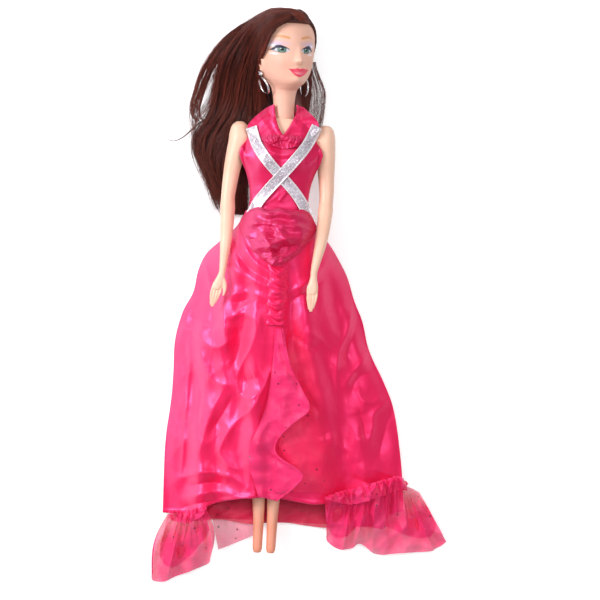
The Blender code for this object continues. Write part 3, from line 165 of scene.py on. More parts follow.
# arm: distance down from the shoulder, right drift, left drift, half width, half depth, rise
ARM_SHARES = [
    (-0.104, -0.02, 0.00, 0.36, 0.34, 0.00), (-0.082, -0.01, 0.00, 0.74, 0.72, 0.00),
    (-0.030, 0.00, 0.00, 0.97, 0.96, 0.00), (0.000, 0.00, 0.00, 1.00, 1.00, 0.00),
    (0.070, 0.10, 0.10, 0.96, 0.92, -0.02),
    (0.180, 0.30, 0.30, 0.80, 0.76, -0.05), (0.300, 0.42, 0.48, 0.70, 0.66, 0.00),
    (0.360, 0.45, 0.46, 0.66, 0.64, 0.06), (0.460, 0.42, 0.38, 0.67, 0.62, 0.26),
    (0.600, 0.42, 0.06, 0.56, 0.50, 0.66), (0.760, 0.50, -0.56, 0.34, 0.32, 0.93),
    (0.800, 0.54, -0.60, 0.33, 0.28, 0.96), (0.860, 0.70, -0.62, 0.50, 0.26, 0.99),
    (0.910, 0.82, -0.64, 0.44, 0.22, 1.00), (0.960, 0.92, -0.68, 0.30, 0.18, 0.99),
    (1.000, 1.00, -0.72, 0.12, 0.12, 0.97),
]
# head: height, half width, front depth, back depth
HEAD_SHARES = [
    (0.000, 0.395, 0.360, 0.335), (0.075, 0.385, 0.350, 0.330), (0.180, 0.395, 0.370, 0.370),
    (0.272, 0.440, 0.450, 0.500), (0.312, 0.500, 0.680, 0.580), (0.346, 0.610, 0.860, 0.680),
    (0.386, 0.735, 0.940, 0.780), (0.450, 0.860, 0.970, 0.890), (0.530, 0.940, 0.985, 0.950),
    (0.620, 0.985, 0.985, 0.985), (0.720, 1.000, 0.990, 1.000), (0.800, 0.980, 0.960, 0.980),
    (0.870, 0.900, 0.860, 0.890), (0.925, 0.740, 0.690, 0.730), (0.965, 0.520, 0.480, 0.520),
    (0.990, 0.260, 0.240, 0.260),
]
# skirt: height, right reach, left reach, edge rise, crown rise
SKIRT_SHARES = [
    (1.000, 0.325, 0.228, 0.545, 0.850), (0.970, 0.362, 0.258, 0.500, 0.900),
    (0.933, 0.450, 0.312, 0.390, 0.950), (0.897, 0.575, 0.378, 0.250, 0.985),
    (0.855, 0.710, 0.440, 0.130, 1.000), (0.800, 0.786, 0.507, 0.065, 0.990),
    (0.727, 0.830, 0.566, 0.034, 0.950), (0.660, 0.928, 0.632, 0.034, 0.910),
    (0.564, 0.992, 0.691, 0.034, 0.850), (0.467, 0.992, 0.803, 0.034, 0.790),
    (0.376, 1.000, 0.888, 0.034, 0.740), (0.242, 1.038, 0.947, 0.034, 0.650),
    (0.115, 1.038, 0.985, 0.034, 0.530), (0.000, 1.032, 1.000, 0.034, 0.420),
]
# hair sweep: height, outer reach, inner reach, floor, roof
HAIR_SWEEP_SHARES = [
    (0.00, 0.620, 0.520, 0.02, 0.10), (0.06, 0.660, 0.400, 0.01, 0.22),
    (0.18, 0.730, 0.345, 0.01, 0.32), (0.30, 0.860, 0.350, 0.01, 0.38),
    (0.42, 0.970, 0.350, 0.01, 0.40), (0.52, 0.985, 0.300, 0.01, 0.42),
    (0.60, 1.000, 0.180, 0.01, 0.37), (0.68, 1.000, 0.240, 0.01, 0.60),
    (0.76, 0.960, 0.325, 0.01, 0.84), (0.84, 0.890, 0.355, 0.02, 0.98),
    (0.92, 0.780, 0.380, 0.06, 0.94), (1.00, 0.600, 0.420, 0.30, 0.70),
]


def smooth(table, at):
    """Read a table of rows at the first column's value, smoothly between the rows."""
    rows = np.array(table, float)
    rows = rows[np.argsort(rows[:, 0], kind="stable")]
    key, value = rows[:, 0], rows[:, 1:]
    slope = np.empty_like(value)
    slope[1:-1] = (value[2:] - value[:-2]) / (key[2:] - key[:-2])[:, None]
    slope[0] = (value[1] - value[0]) / (key[1] - key[0])
    slope[-1] = (value[-1] - value[-2]) / (key[-1] - key[-2])
    spot = np.clip(np.asarray(at, float), key[0], key[-1])
    i = np.clip(np.searchsorted(key, spot, side="right") - 1, 0, len(key) - 2)
    span = (key[i + 1] - key[i])[..., None]
    t = (spot[..., None] - key[i][..., None]) / span
    found = (value[i] * (2 * t**3 - 3 * t**2 + 1) + slope[i] * span * (t**3 - 2 * t**2 + t)
             + value[i + 1] * (3 * t**2 - 2 * t**3) + slope[i + 1] * span * (t**3 - t**2))
    return [found[..., column] for column in range(found.shape[-1])]


def ramp(value, low, high):
    t = np.clip((np.asarray(value, float) - low) / (high - low), 0.0, 1.0)
    return t * t * (3 - 2 * t)


def hill(value, middle, width):
    return np.exp(-((np.asarray(value, float) - middle) / width) ** 2)


def signed_power(value, power):
    return np.sign(value) * np.abs(value) ** power


# The camera's view, in which folds, locks and painted marks are given as (x, y) places of a 600 by
# 600 frame

VIEW_PIXEL = 0.000533
VIEW_LEAN = math.radians(2.93)
VIEW_MIDDLE = (264.5, 555.0)
VIEW_SHIFT = 2.2
VIEW_OFFSET = 0.0008


def from_view(px, py):
    """Doll x and height of a place in the camera's view."""
    px, py = np.asarray(px, float), np.asarray(py, float)
    dx, dy = px - VIEW_MIDDLE[0], VIEW_MIDDLE[1] - py
    across = dx * math.cos(VIEW_LEAN) - dy * math.sin(VIEW_LEAN) + VIEW_SHIFT
    up = dx * math.sin(VIEW_LEAN) + dy * math.cos(VIEW_LEAN)
    return across * VIEW_PIXEL + VIEW_OFFSET, up * VIEW_PIXEL


def to_view(x, height):
    """Place in the camera's view of a doll x and height."""
    across = (np.asarray(x, float) - VIEW_OFFSET) / VIEW_PIXEL - VIEW_SHIFT
    up = np.asarray(height, float) / VIEW_PIXEL
    dx = across * math.cos(VIEW_LEAN) + up * math.sin(VIEW_LEAN)
    dy = -across * math.sin(VIEW_LEAN) + up * math.cos(VIEW_LEAN)
    return VIEW_MIDDLE[0] + dx, VIEW_MIDDLE[1] - dy


def near_line(px, py, line):
    """Distance in view pixels to a line of points, and how far along it the nearest place is."""
    best = np.full(px.shape, 1e9)
    along = np.zeros(px.shape)
    points = np.array(line, float)
    lengths = np.linalg.norm(np.diff(points, axis=0), axis=1)
    total, gone = lengths.sum(), 0.0
    for (ax, ay), (bx, by), length in zip(points[:-1], points[1:], lengths):
        t = np.clip(((px - ax) * (bx - ax) + (py - ay) * (by - ay)) / length**2, 0, 1)
        away = np.hypot(px - ax - t * (bx - ax), py - ay - t * (by - ay))
        closer = away < best
        best = np.where(closer, away, best)
        along = np.where(closer, (gone + t * length) / total, along)
        gone += length
    return best, along


def curved(line, steps=6):
    """More points on a smooth curve through the line's points."""
    points = np.array(line, float)
    table = np.column_stack([np.arange(len(points)), points])
    at = np.linspace(0, len(points) - 1, (len(points) - 1) * steps + 1)
    return np.column_stack(smooth(table, at))


# Meshes

def new_object(name, data, material=None):
    item = bpy.data.objects.new(name, data)
    bpy.context.scene.collection.objects.link(item)
    if material is not None:
        data.materials.clear()
        data.materials.append(material)
    return item


def grid_mesh(name, points, wrap=False, uv=None):
    """A mesh through an array of points, rows by columns, in the doll's frame."""
    points = np.asarray(points, float)
    rows, columns = points.shape[:2]
    index = np.arange(rows * columns).reshape(rows, columns)
    if wrap:
        index = np.concatenate([index, index[:, :1]], axis=1)
    faces = np.stack([index[:-1, :-1], index[:-1, 1:], index[1:, 1:], index[1:, :-1]], -1)
    faces = faces.reshape(-1, 4)
    data = bpy.data.meshes.new(name)
    placed = points.reshape(-1, 3) + np.array(DOLL_ORIGIN)
    data.from_pydata(placed.tolist(), [], faces.tolist())
    if uv is not None:
        layer = data.uv_layers.new(name="cloth")
        flat = np.asarray(uv, float).reshape(-1, 2)[faces.reshape(-1)]
        layer.data.foreach_set("uv", flat.astype(np.float32).ravel())
    data.shade_smooth()
    return data


def cloth_uv(points):
    """Cloth coordinates in metres: distances run along the rows and up the columns."""
    points = np.asarray(points, float)
    across = np.linalg.norm(np.diff(points, axis=1), axis=2)
    up = np.linalg.norm(np.diff(points, axis=0), axis=2)
    u = np.concatenate([np.zeros((points.shape[0], 1)), np.cumsum(across, axis=1)], axis=1)
    v = np.concatenate([np.zeros((1, points.shape[1])), np.cumsum(up, axis=0)], axis=0)
    u -= u[:, u.shape[1] // 2][:, None]
    return np.stack([u, v], -1)


def sheet(name, points, material, thickness=0.0, wrap=False):
    """A cloth piece; with a thickness it stands above the points as a closed thin body.

    Painted light and shade: "turned" holds how far each point faces the doll's right and head,
    towards the window lamp; satin is painted lighter where it faces the lamp and darker where it
    faces away.
    """
    points = np.asarray(points, float)
    data = grid_mesh(name, points, wrap=wrap, uv=cloth_uv(points))
    item = new_object(name, data, material)
    slope = np.cross(np.gradient(points, axis=1), np.gradient(points, axis=0))
    slope /= np.maximum(np.linalg.norm(slope, axis=-1, keepdims=True), 1e-12)
    # painted light and shade: how far the surface faces the window lamp, 0.5 where it lies flat
    turned = np.clip(0.5 - 0.90 * slope[..., 0] + 0.40 * slope[..., 1], 0, 1)
    kept = data.attributes.new("turned", "FLOAT", "POINT")
    kept.data.foreach_set("value", turned.astype(np.float32).ravel())
    if thickness:
        solid = item.modifiers.new("thickness", "SOLIDIFY")
        solid.thickness = thickness
        solid.offset = 1.0
        bake(item)
    return item


def bake(item):
    """Turn an object with modifiers into a plain mesh."""
    bpy.context.view_layer.update()
    graph = bpy.context.evaluated_depsgraph_get()
    data = bpy.data.meshes.new_from_object(item.evaluated_get(graph))
    data.transform(item.matrix_world)
    item.modifiers.clear()
    item.data = data
    item.matrix_world = Matrix.Identity(4)
    data.shade_smooth()
    return item


def join(items, name):
    """One object from several, whose shells stay as they are."""
    mesh = bmesh.new()
    for item in items:
        mesh.from_mesh(item.data)
    data = bpy.data.meshes.new(name)
    for material in items[0].data.materials:
        data.materials.append(material)
    mesh.to_mesh(data)
    mesh.free()
    data.shade_smooth()
    for item in items:
        bpy.data.objects.remove(item)
    return new_object(name, data)


def capped(name, rings, material=None):
    """A closed body through rings that each hold the same number of points."""
    data = grid_mesh(name, rings, wrap=True)
    mesh = bmesh.new()
    mesh.from_mesh(data)
    mesh.verts.ensure_lookup_table()
    count = np.asarray(rings).shape[1]
    mesh.faces.new(reversed(mesh.verts[:count]))
    mesh.faces.new(mesh.verts[-count:])
    bmesh.ops.recalc_face_normals(mesh, faces=mesh.faces)
    mesh.to_mesh(data)
    mesh.free()
    data.shade_smooth()
    return new_object(name, data, material)


def ovals(centres, half_widths, half_depths, count, square=2.0):
    """Rings round a list of centres, each flat at its own height."""
    angle = TURN * np.arange(count) / count
    c, s = np.cos(angle), np.sin(angle)
    reach = (np.abs(c) ** square + np.abs(s) ** square) ** (-1 / square)
    rings = np.zeros((len(centres), count, 3))
    rings[:, :, 0] = np.outer(half_widths, reach * c) + centres[:, :1]
    rings[:, :, 1] = centres[:, 1:2]
    rings[:, :, 2] = np.outer(half_depths, reach * s) + centres[:, 2:3]
    return rings


def one_skin(item, voxel, smoothing=4):
    """Melt an object's overlapping shells into one moulded skin."""
    melt = item.modifiers.new("one_skin", "REMESH")
    melt.mode = "VOXEL"
    melt.voxel_size = voxel
    relax = item.modifiers.new("relax", "SMOOTH")
    relax.iterations = smoothing
    relax.factor = 0.5
    return bake(item)


def cut(item, tool):
    change = item.modifiers.new("cut", "BOOLEAN")
    change.operation = "DIFFERENCE"
    change.solver = "EXACT"
    change.object = tool


def rod(name, radius, length, spot, turn, sides=48):
    mesh = bmesh.new()
    bmesh.ops.create_cone(mesh, cap_ends=True, segments=sides, radius1=radius, radius2=radius,
                          depth=length)
    data = bpy.data.meshes.new(name)
    mesh.to_mesh(data)
    mesh.free()
    data.transform(Matrix.Translation(Vector(spot) + DOLL_ORIGIN) @ turn)
    return new_object(name, data)


ALONG_X = Matrix.Rotation(math.pi / 2, 4, "Y")


# Materials

def srgb(red, green, blue):
    """A colour given as it shows on a screen, 0 to 255, as Blender's linear values."""
    shown = np.array((red, green, blue), float) / 255
    linear = np.where(shown <= 0.04045, shown / 12.92, ((shown + 0.055) / 1.055) ** 2.4)
    return tuple(float(v) for v in linear)


class Wiring:
    """A short hand for building a node tree."""

    def __init__(self, tree):
        self.tree = tree

    def node(self, kind, **settings):
        made = self.tree.nodes.new(kind)
        for key, value in settings.items():
            setattr(made, key, value)
        return made

    def link(self, source, target):
        self.tree.links.new(source, target)

    def fill(self, socket, value):
        if isinstance(value, bpy.types.NodeSocket):
            self.link(value, socket)
        elif isinstance(value, tuple) and len(value) == 3 and socket.type == "RGBA":
            socket.default_value = (*value, 1.0)
        else:
            socket.default_value = value

    def math(self, operation, *values, clamp=False):
        made = self.node("ShaderNodeMath", operation=operation, use_clamp=clamp)
        for socket, value in zip(made.inputs, values):
            self.fill(socket, value)
        return made.outputs[0]

    def mix(self, share, first, second):
        made = self.node("ShaderNodeMix", data_type="RGBA")
        self.fill(made.inputs[0], share)
        self.fill(made.inputs[6], first)
        self.fill(made.inputs[7], second)
        return made.outputs[2]

    def noise(self, vector, scale, detail=3.0, roughness=0.5):
        made = self.node("ShaderNodeTexNoise")
        self.link(vector, made.inputs["Vector"])
        made.inputs["Scale"].default_value = scale
        made.inputs["Detail"].default_value = detail
        made.inputs["Roughness"].default_value = roughness
        return made.outputs["Fac"]

    def map_range(self, value, low, high, to_low=0.0, to_high=1.0):
        made = self.node("ShaderNodeMapRange")
        for socket, given in zip(made.inputs, (value, low, high, to_low, to_high)):
            self.fill(socket, given)
        return made.outputs[0]

    def bump(self, height, strength, distance):
        made = self.node("ShaderNodeBump")
        made.inputs["Strength"].default_value = strength
        made.inputs["Distance"].default_value = distance
        self.link(height, made.inputs["Height"])
        return made.outputs["Normal"]

    def parts(self, vector):
        split = self.node("ShaderNodeSeparateXYZ")
        self.link(vector, split.inputs[0])
        return split.outputs

    def stored(self, name, socket="Fac"):
        """A value or a colour that the mesh holds at its points."""
        return self.node("ShaderNodeAttribute", attribute_name=name).outputs[socket]

    def dress(self, shader, **sources):
        """Feed the shader's sockets, which are named with _ for a space."""
        for key, source in sources.items():
            self.link(source, shader.inputs[key.replace("_", " ")])


def material(name, build, **plain):
    """A material whose shader sockets hold plain values and whose build function wires it."""
    made = bpy.data.materials.new(name)
    made.use_nodes = True
    shader = made.node_tree.nodes["Principled BSDF"]
    for key, value in plain.items():
        socket = shader.inputs[key.replace("_", " ")]
        socket.default_value = (*value, 1.0) if isinstance(value, tuple) else value
    build(Wiring(made.node_tree), shader)
    return made


def object_space(wiring):
    return wiring.node("ShaderNodeTexCoord").outputs["Object"]


def uv_space(wiring):
    return wiring.node("ShaderNodeTexCoord").outputs["UV"]


SKIN = srgb(250, 204, 178)
SKIN_DEEP = srgb(238, 172, 140)
SKIN_PAINTED_REFLECTION = srgb(234, 142, 112)
VINYL = srgb(241, 187, 164)
# where the painted reflection of the pink gown warms the skin towards the feet, along the imported
# model's y
FEET_PAINTED_REFLECTION = (-0.104, -0.122)


def plastic(wiring, shader):
    place = object_space(wiring)
    broad = wiring.noise(place, 60.0, 2.0)
    fine = wiring.noise(place, 1800.0, 2.0)
    colour = wiring.mix(wiring.map_range(broad, 0.35, 0.75, 0.0, 0.35), SKIN, SKIN_DEEP)
    # painted reflection: the skin turns a warmer pink towards the feet, near the gown's hem
    feet = wiring.map_range(wiring.parts(place)[1], *FEET_PAINTED_REFLECTION, 0.0, 0.85)
    wiring.dress(shader, Base_Color=wiring.mix(feet, colour, SKIN_PAINTED_REFLECTION),
                 Roughness=wiring.map_range(fine, 0.3, 0.7, 0.34, 0.46),
                 Normal=wiring.bump(fine, 0.12, 0.0001))


def vinyl(wiring, shader):
    fine = wiring.noise(object_space(wiring), 2000.0, 2.0)
    rough = wiring.map_range(fine, 0.3, 0.7, 0.42, 0.52)
    wiring.dress(shader, Base_Color=wiring.stored("paint", "Color"),
                 Roughness=wiring.math("SUBTRACT", rough, wiring.stored("gloss")),
                 Normal=wiring.bump(fine, 0.10, 0.0001))


def weave_group():
    """Satin weave: long floats across, given cloth coordinates and threads per metre."""
    group = bpy.data.node_groups.new("satin_weave", "ShaderNodeTree")
    for name, way, kind in (("Cloth", "INPUT", "Vector"), ("Threads", "INPUT", "Float"),
                            ("Height", "OUTPUT", "Float")):
        group.interface.new_socket(name, in_out=way, socket_type=f"NodeSocket{kind}")
    wiring = Wiring(group)
    given = wiring.node("NodeGroupInput")
    result = wiring.node("NodeGroupOutput")
    split = wiring.parts(given.outputs["Cloth"])
    warp = wiring.math("MULTIPLY", split[0], given.outputs["Threads"])
    weft = wiring.math("MULTIPLY", split[1], given.outputs["Threads"])
    along = wiring.math("SINE", wiring.math("MULTIPLY", warp, TURN))
    across = wiring.math("SINE", wiring.math("MULTIPLY", weft, TURN / 5))
    height = wiring.math("ADD", wiring.math("MULTIPLY", along, 0.7),
                         wiring.math("MULTIPLY", across, 0.3))
    wiring.link(height, result.inputs["Height"])
    return group


WEAVE = weave_group()
SATIN_THREADS = 4000.0
NET_THREADS = 2200
# satin colours: its own pink, a deeper tone that is also its painted shade, and a painted highlight
SATIN_PINK = srgb(251, 38, 96)
SATIN_DEEP_AND_PAINTED_SHADE = srgb(244, 22, 78)
SATIN_PAINTED_HIGHLIGHT = srgb(253, 92, 142)


def satin(shade):
    """Satin, painted lighter where it faces the window lamp and darker where it faces away; a shade
    below 1 darkens the whole colour, painted shade for cloth that lies deep in its own folds.
    """
    return lambda wiring, shader: wire_satin(wiring, shader, shade)


def wire_satin(wiring, shader, shade):
    pink, deep, light = [tuple(shade * value for value in tone)
                         for tone in (SATIN_PINK, SATIN_DEEP_AND_PAINTED_SHADE, SATIN_PAINTED_HIGHLIGHT)]
    place = object_space(wiring)
    weave = wiring.node("ShaderNodeGroup", node_tree=WEAVE)
    wiring.link(uv_space(wiring), weave.inputs["Cloth"])
    weave.inputs["Threads"].default_value = SATIN_THREADS
    broad = wiring.noise(place, 45.0, 3.0)
    crease = wiring.noise(place, 420.0, 4.0, 0.6)
    turned = wiring.stored("turned")
    colour = wiring.mix(wiring.map_range(broad, 0.35, 0.75), pink, deep)
    # painted shade where the satin faces away from the window lamp, painted highlight where it
    # faces it
    colour = wiring.mix(wiring.map_range(turned, 0.42, 0.10, 0.0, 0.8), colour, deep)
    colour = wiring.mix(wiring.map_range(turned, 0.68, 1.05, 0.0, 0.75), colour, light)
    height = wiring.math("ADD", wiring.math("MULTIPLY", weave.outputs["Height"], 0.02), crease)
    wiring.dress(shader, Base_Color=colour, Normal=wiring.bump(height, 0.20, 0.0003),
                 Roughness=wiring.map_range(crease, 0.3, 0.7, 0.32, 0.44))


SATIN_GLOSS = dict(Metallic=0.12, IOR=1.62, Sheen_Weight=0.22, Sheen_Roughness=0.35,
                   Specular_IOR_Level=0.70, Specular_Tint=srgb(248, 156, 240),
                   Sheen_Tint=srgb(255, 120, 180))
SATIN = material("pink_satin", satin(1.0), **SATIN_GLOSS)
# darker copies of the same satin, painted shade: 0.8 for the bodice, collar and strap, 0.7 for the
# gathered drape and neckline pleats
SATIN_BODICE_PAINTED_SHADE = material("bodice_satin", satin(0.80), **SATIN_GLOSS)
SATIN_GATHERED_PAINTED_SHADE = material("gathered_satin", satin(0.70), **SATIN_GLOSS)


def net(colour, dot_colour, opacity):
    """Fine tulle with small flocked dots; the mesh between the threads is see-through."""
    def build(wiring, shader):
        place = object_space(wiring)
        spots = wiring.node("ShaderNodeTexVoronoi", feature="F1")
        wiring.link(place, spots.inputs["Vector"])
        spots.inputs["Scale"].default_value = 175.0
        spots.inputs["Randomness"].default_value = 0.35
        dot = wiring.math("LESS_THAN", spots.outputs["Distance"], 0.095)
        split = wiring.parts(uv_space(wiring))
        warp, weft = [wiring.math("SINE", wiring.math("MULTIPLY", split[way], TURN * NET_THREADS))
                      for way in (0, 1)]
        threads = wiring.math("MULTIPLY", warp, weft)
        cloudy = wiring.noise(place, 70.0, 2.0)
        cover = wiring.math("ADD", wiring.math("MULTIPLY", threads, 0.08),
                            wiring.map_range(cloudy, 0.3, 0.7, opacity - 0.08, opacity + 0.08))
        cover = wiring.math("MULTIPLY", cover, wiring.math("SUBTRACT", 1.0, wiring.stored("sheer")))
        cover = wiring.math("MAXIMUM", cover, dot)
        wiring.dress(shader, Base_Color=wiring.mix(dot, colour, dot_colour),
                     Alpha=wiring.math("MINIMUM", cover, 1.0),
                     Roughness=wiring.map_range(dot, 0.0, 1.0, 0.55, 0.30))
    return build


NET_PINK = material("pink_net", net(srgb(254, 44, 118), srgb(96, 20, 56), 0.84),
                    Sheen_Weight=0.2, Sheen_Roughness=0.5, Sheen_Tint=srgb(255, 140, 190))
NET_LINING = material("lining_net_dark", net(srgb(222, 18, 74), srgb(60, 8, 30), 0.88),
                      Sheen_Weight=0.1, Sheen_Roughness=0.5)
NET_SHEER = material("sheer_net", net(srgb(250, 52, 124), srgb(86, 24, 54), 0.62),
                     Sheen_Weight=0.2, Sheen_Roughness=0.5)
NET_DARK = material("crimson_net", net(srgb(255, 34, 98), srgb(96, 12, 44), 0.82),
                    Sheen_Weight=0.2, Sheen_Roughness=0.5, Sheen_Tint=srgb(255, 100, 150))


# the ribbon's corded edge: where it starts and is full, from the middle line
RIBBON_CORD = (0.0020, 0.0025)


def glitter(wiring, shader):
    place = object_space(wiring)
    flakes = wiring.node("ShaderNodeTexVoronoi", feature="F1")
    wiring.link(place, flakes.inputs["Vector"])
    flakes.inputs["Scale"].default_value = 2000.0
    tone = wiring.node("ShaderNodeSeparateColor")
    wiring.link(flakes.outputs["Color"], tone.inputs[0])
    patches = wiring.noise(place, 210.0, 2.0)
    across = wiring.math("ABSOLUTE", wiring.parts(uv_space(wiring))[0])
    cord = wiring.map_range(across, *RIBBON_CORD)
    shade = wiring.mix(wiring.map_range(patches, 0.36, 0.66), srgb(180, 166, 178),
                       srgb(212, 206, 216))
    shade = wiring.mix(cord, shade, srgb(236, 228, 234))
    lively = wiring.mix(wiring.map_range(tone.outputs[0], 0.75, 0.95), shade, (0.95, 0.95, 0.97))
    wiring.dress(shader, Base_Color=lively,
                 Roughness=wiring.map_range(tone.outputs[1], 0.0, 1.0, 0.18, 0.55),
                 Normal=wiring.bump(tone.outputs[2], 0.5, 0.0002))


GLITTER = material("silver_glitter", glitter, Metallic=0.35)


def chrome(wiring, shader):
    wear = wiring.noise(object_space(wiring), 900.0, 3.0)
    worn = wiring.map_range(wear, 0.5, 0.8)
    wiring.dress(shader, Roughness=wiring.map_range(wear, 0.3, 0.7, 0.12, 0.28),
                 Base_Color=wiring.mix(worn, srgb(228, 228, 232), srgb(196, 194, 200)),
                 Normal=wiring.bump(wear, 0.1, 0.0001))


HAIR_DARK = srgb(44, 16, 15)
HAIR_RED = srgb(156, 68, 50)


def fibre(wiring, shader):
    fine = wiring.noise(object_space(wiring), 1500.0, 2.0)
    wiring.dress(shader, Base_Color=wiring.mix(wiring.stored("tone"), HAIR_DARK, HAIR_RED),
                 Roughness=wiring.map_range(fine, 0.3, 0.7, 0.30, 0.46))


def tape(wiring, shader):
    fine = wiring.noise(object_space(wiring), 2500.0, 2.0)
    wiring.dress(shader, Base_Color=wiring.mix(fine, srgb(236, 232, 226), srgb(205, 200, 194)),
                 Normal=wiring.bump(fine, 0.5, 0.0002))


BODY_PLASTIC = material("body_plastic_moulded", plastic, Roughness=0.4,
                        Subsurface_Weight=0.08, Subsurface_Scale=0.002)
HEAD_VINYL = material("head_vinyl_painted", vinyl, Subsurface_Weight=0.10,
                      Subsurface_Scale=0.002)
SILVER = material("polished_silver", chrome, Metallic=1.0)
STEEL = material("pin_steel_turned", chrome, Metallic=1.0)
HAIR = material("hair_fibre_dark", fibre, Sheen_Weight=0.15, Sheen_Tint=srgb(160, 90, 70),
                Specular_IOR_Level=0.45)
TAPE = material("tape_woven", tape, Roughness=0.85)


# Body

def torso_size(height):
    width, front, back = smooth(TORSO_SHARES, (height - CROTCH_HEIGHT) / TORSO_LENGTH)
    return width * TORSO_HALF_WIDTH, front * TORSO_FRONT_DEPTH, back * TORSO_BACK_DEPTH


def torso_points(angle, height, clearance):
    """Points on the torso or a clearance outside; angle 0 is +X, a quarter turn the chest."""
    angle, height = np.broadcast_arrays(np.asarray(angle, float), np.asarray(height, float))
    width, front, back = torso_size(height)
    c, s = np.cos(angle), np.sin(angle)
    x = (width + clearance) * signed_power(c, 0.92)
    z = (np.where(s >= 0, front, back) + clearance) * signed_power(s, 0.92)
    bust = BUST_RISE * np.exp(-((np.abs(x) - BUST_SPACING) ** 2 + (height - BUST_HEIGHT) ** 2)
                              / BUST_RADIUS**2)
    z = z + np.where(s > 0, bust * s, 0) + np.where(s >= 0, 1, -1) * TORSO_PARTING_GAP / 2
    return np.stack([x, height, BODY_RISE + z], -1)


def over_torso(x, height, clearance):
    """Points a clearance outside the torso's front, given sideways places and heights."""
    x, height = np.broadcast_arrays(np.asarray(x, float), np.asarray(height, float))
    width, _, _ = torso_size(height)
    c = np.clip(x / (width + clearance), -1.0, 1.0)
    points = torso_points(np.arccos(signed_power(c, 1 / 0.92)), height, clearance)
    points[..., 0] = x
    return points


def collar_bones(points):
    """How far the collar bones, the hollow between them and the shoulder blades stand out."""
    x, y = points[..., 0], points[..., 1]
    front = points[..., 2] > BODY_RISE
    line = SHOULDER_HEIGHT + 0.0042 - 0.16 * np.abs(x)
    bones = 0.0007 * hill(y, line, 0.0016) * ramp(np.abs(x), 0.002, 0.006)
    hollow = -0.0006 * hill(np.abs(x), 0, 0.0022) * hill(y, SHOULDER_HEIGHT + 0.004, 0.003)
    blades = 0.0008 * hill(np.abs(x), 0.0085, 0.004) * hill(y, SHOULDER_HEIGHT - 0.012, 0.009)
    spine = -0.0008 * hill(x, 0, 0.0018) * ramp(y, CROTCH_HEIGHT, WAIST_HEIGHT)
    return np.where(front, bones + hollow, -(blades + spine))


def make_torso():
    openings = []
    for side in (1, -1):
        spot = (side * (HIP_WEB_HALF_WIDTH + TORSO_HALF_WIDTH / 2), HIP_HEIGHT, BODY_RISE)
        openings.append(rod("leg_opening", LEG_OPENING_RADIUS, TORSO_HALF_WIDTH, spot, ALONG_X))
        spot = (side * TORSO_HALF_WIDTH, SHOULDER_HEIGHT, BODY_RISE)
        openings.append(rod("arm_hole", PEG_RADIUS + RUNNING_GAP, TORSO_HALF_WIDTH, spot, ALONG_X))
    for name, node, sign in (("torso_front_skin", "torso_front_shell", 1),
                             ("torso_back_skin", "torso_back_shell", -1)):
        height = np.linspace(CROTCH_HEIGHT, NECK_BASE_HEIGHT, 120)[:, None]
        turn = np.clip(np.linspace(0, 1, 91), 0.0005, 0.9995) * math.pi
        angle = (math.pi - turn if sign > 0 else TURN - turn)[None, :]
        points = torso_points(angle, height, 0)
        points[..., 2] += collar_bones(points)
        skin = sheet(name, points, BODY_PLASTIC)
        solid = skin.modifiers.new("wall", "SOLIDIFY")
        solid.thickness = TORSO_WALL
        solid.offset = -1.0
        for tool in openings:
            cut(skin, tool)
        bake(skin)
        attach(skin, "torso")
        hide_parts(node)
    for tool in openings:
        bpy.data.objects.remove(tool)


def make_leg(side, name):
    """A slim moulded leg with its hip disc and an arched foot with a hint of toes."""
    share = np.concatenate([np.linspace(0, 0.02, 8), np.linspace(0.03, 0.955, 130)])
    sideways, width, depth, drop = smooth(LEG_SHARES, share)
    centres = np.column_stack([side * sideways * LEG_HIP_SPREAD, share * HIP_HEIGHT,
                               BODY_RISE - drop * LEG_HEEL_DROP])
    knee = 0.0006 * hill(share, 0.52, 0.035)
    shin = 0.0004 * hill(share, 0.33, 0.10)
    centres[:, 0] += 0.0014 * ramp(share, 0.45, 0.05)
    fuller = 1 + 0.22 * ramp(share, 0.32, 0.14)
    rings = ovals(centres, width * fuller * LEG_HALF_WIDTH, depth * LEG_HALF_DEPTH, 48)
    angle = TURN * np.arange(48) / 48
    front = np.clip(np.sin(angle), 0, 1) ** 4
    rings[:, :, 2] += np.outer(knee + shin, front)
    toes = 0.00022 * np.abs(np.sin(2.5 * angle))[None, :] * hill(share, 0.0, 0.035)[:, None]
    rings[:, :, 1] -= toes
    leg = capped(f"leg_{name}_skin", rings, BODY_PLASTIC)
    inner = HIP_WEB_HALF_WIDTH + RUNNING_GAP
    reach = LEG_OUTER_REACH - inner
    profile = [(0.02, 1.0), (0.42, 0.97), (0.70, 0.84), (0.90, 0.60), (1.0, 0.30), (0.96, 0.06),
               (0.90, 0.0), (0.02, 0.0)]
    discs = np.zeros((len(profile), 48, 3))
    for ring, (radius, out) in zip(discs, profile):
        ring[:, 0] = side * (inner + out * reach)
        ring[:, 1] = HIP_HEIGHT + radius * LEG_DISC_RADIUS * np.cos(angle)
        ring[:, 2] = BODY_RISE + radius * LEG_DISC_RADIUS * np.sin(angle)
    disc = capped("disc", discs, BODY_PLASTIC)
    leg = one_skin(join([leg, disc], f"leg_{name}_skin"), 0.00050, 3)
    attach(leg, f"leg_{name}")
    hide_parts(f"leg_{name}")


def arm_line(side, down):
    """Centre and half sizes of the arm at distances down from the shoulder."""
    right, left, width, depth, rise = smooth(ARM_SHARES, down)
    x = left * ARM_LEFT_DRIFT if side > 0 else -right * ARM_RIGHT_DRIFT
    z = rise * (ARM_LEFT_RISE if side > 0 else ARM_RIGHT_RISE)
    centres = np.stack([x + side * SHOULDER_HALF_SPAN, SHOULDER_HEIGHT - down * ARM_LENGTH,
                        BODY_RISE + z], -1)
    return centres, width * ARM_HALF_WIDTH, depth * ARM_HALF_DEPTH


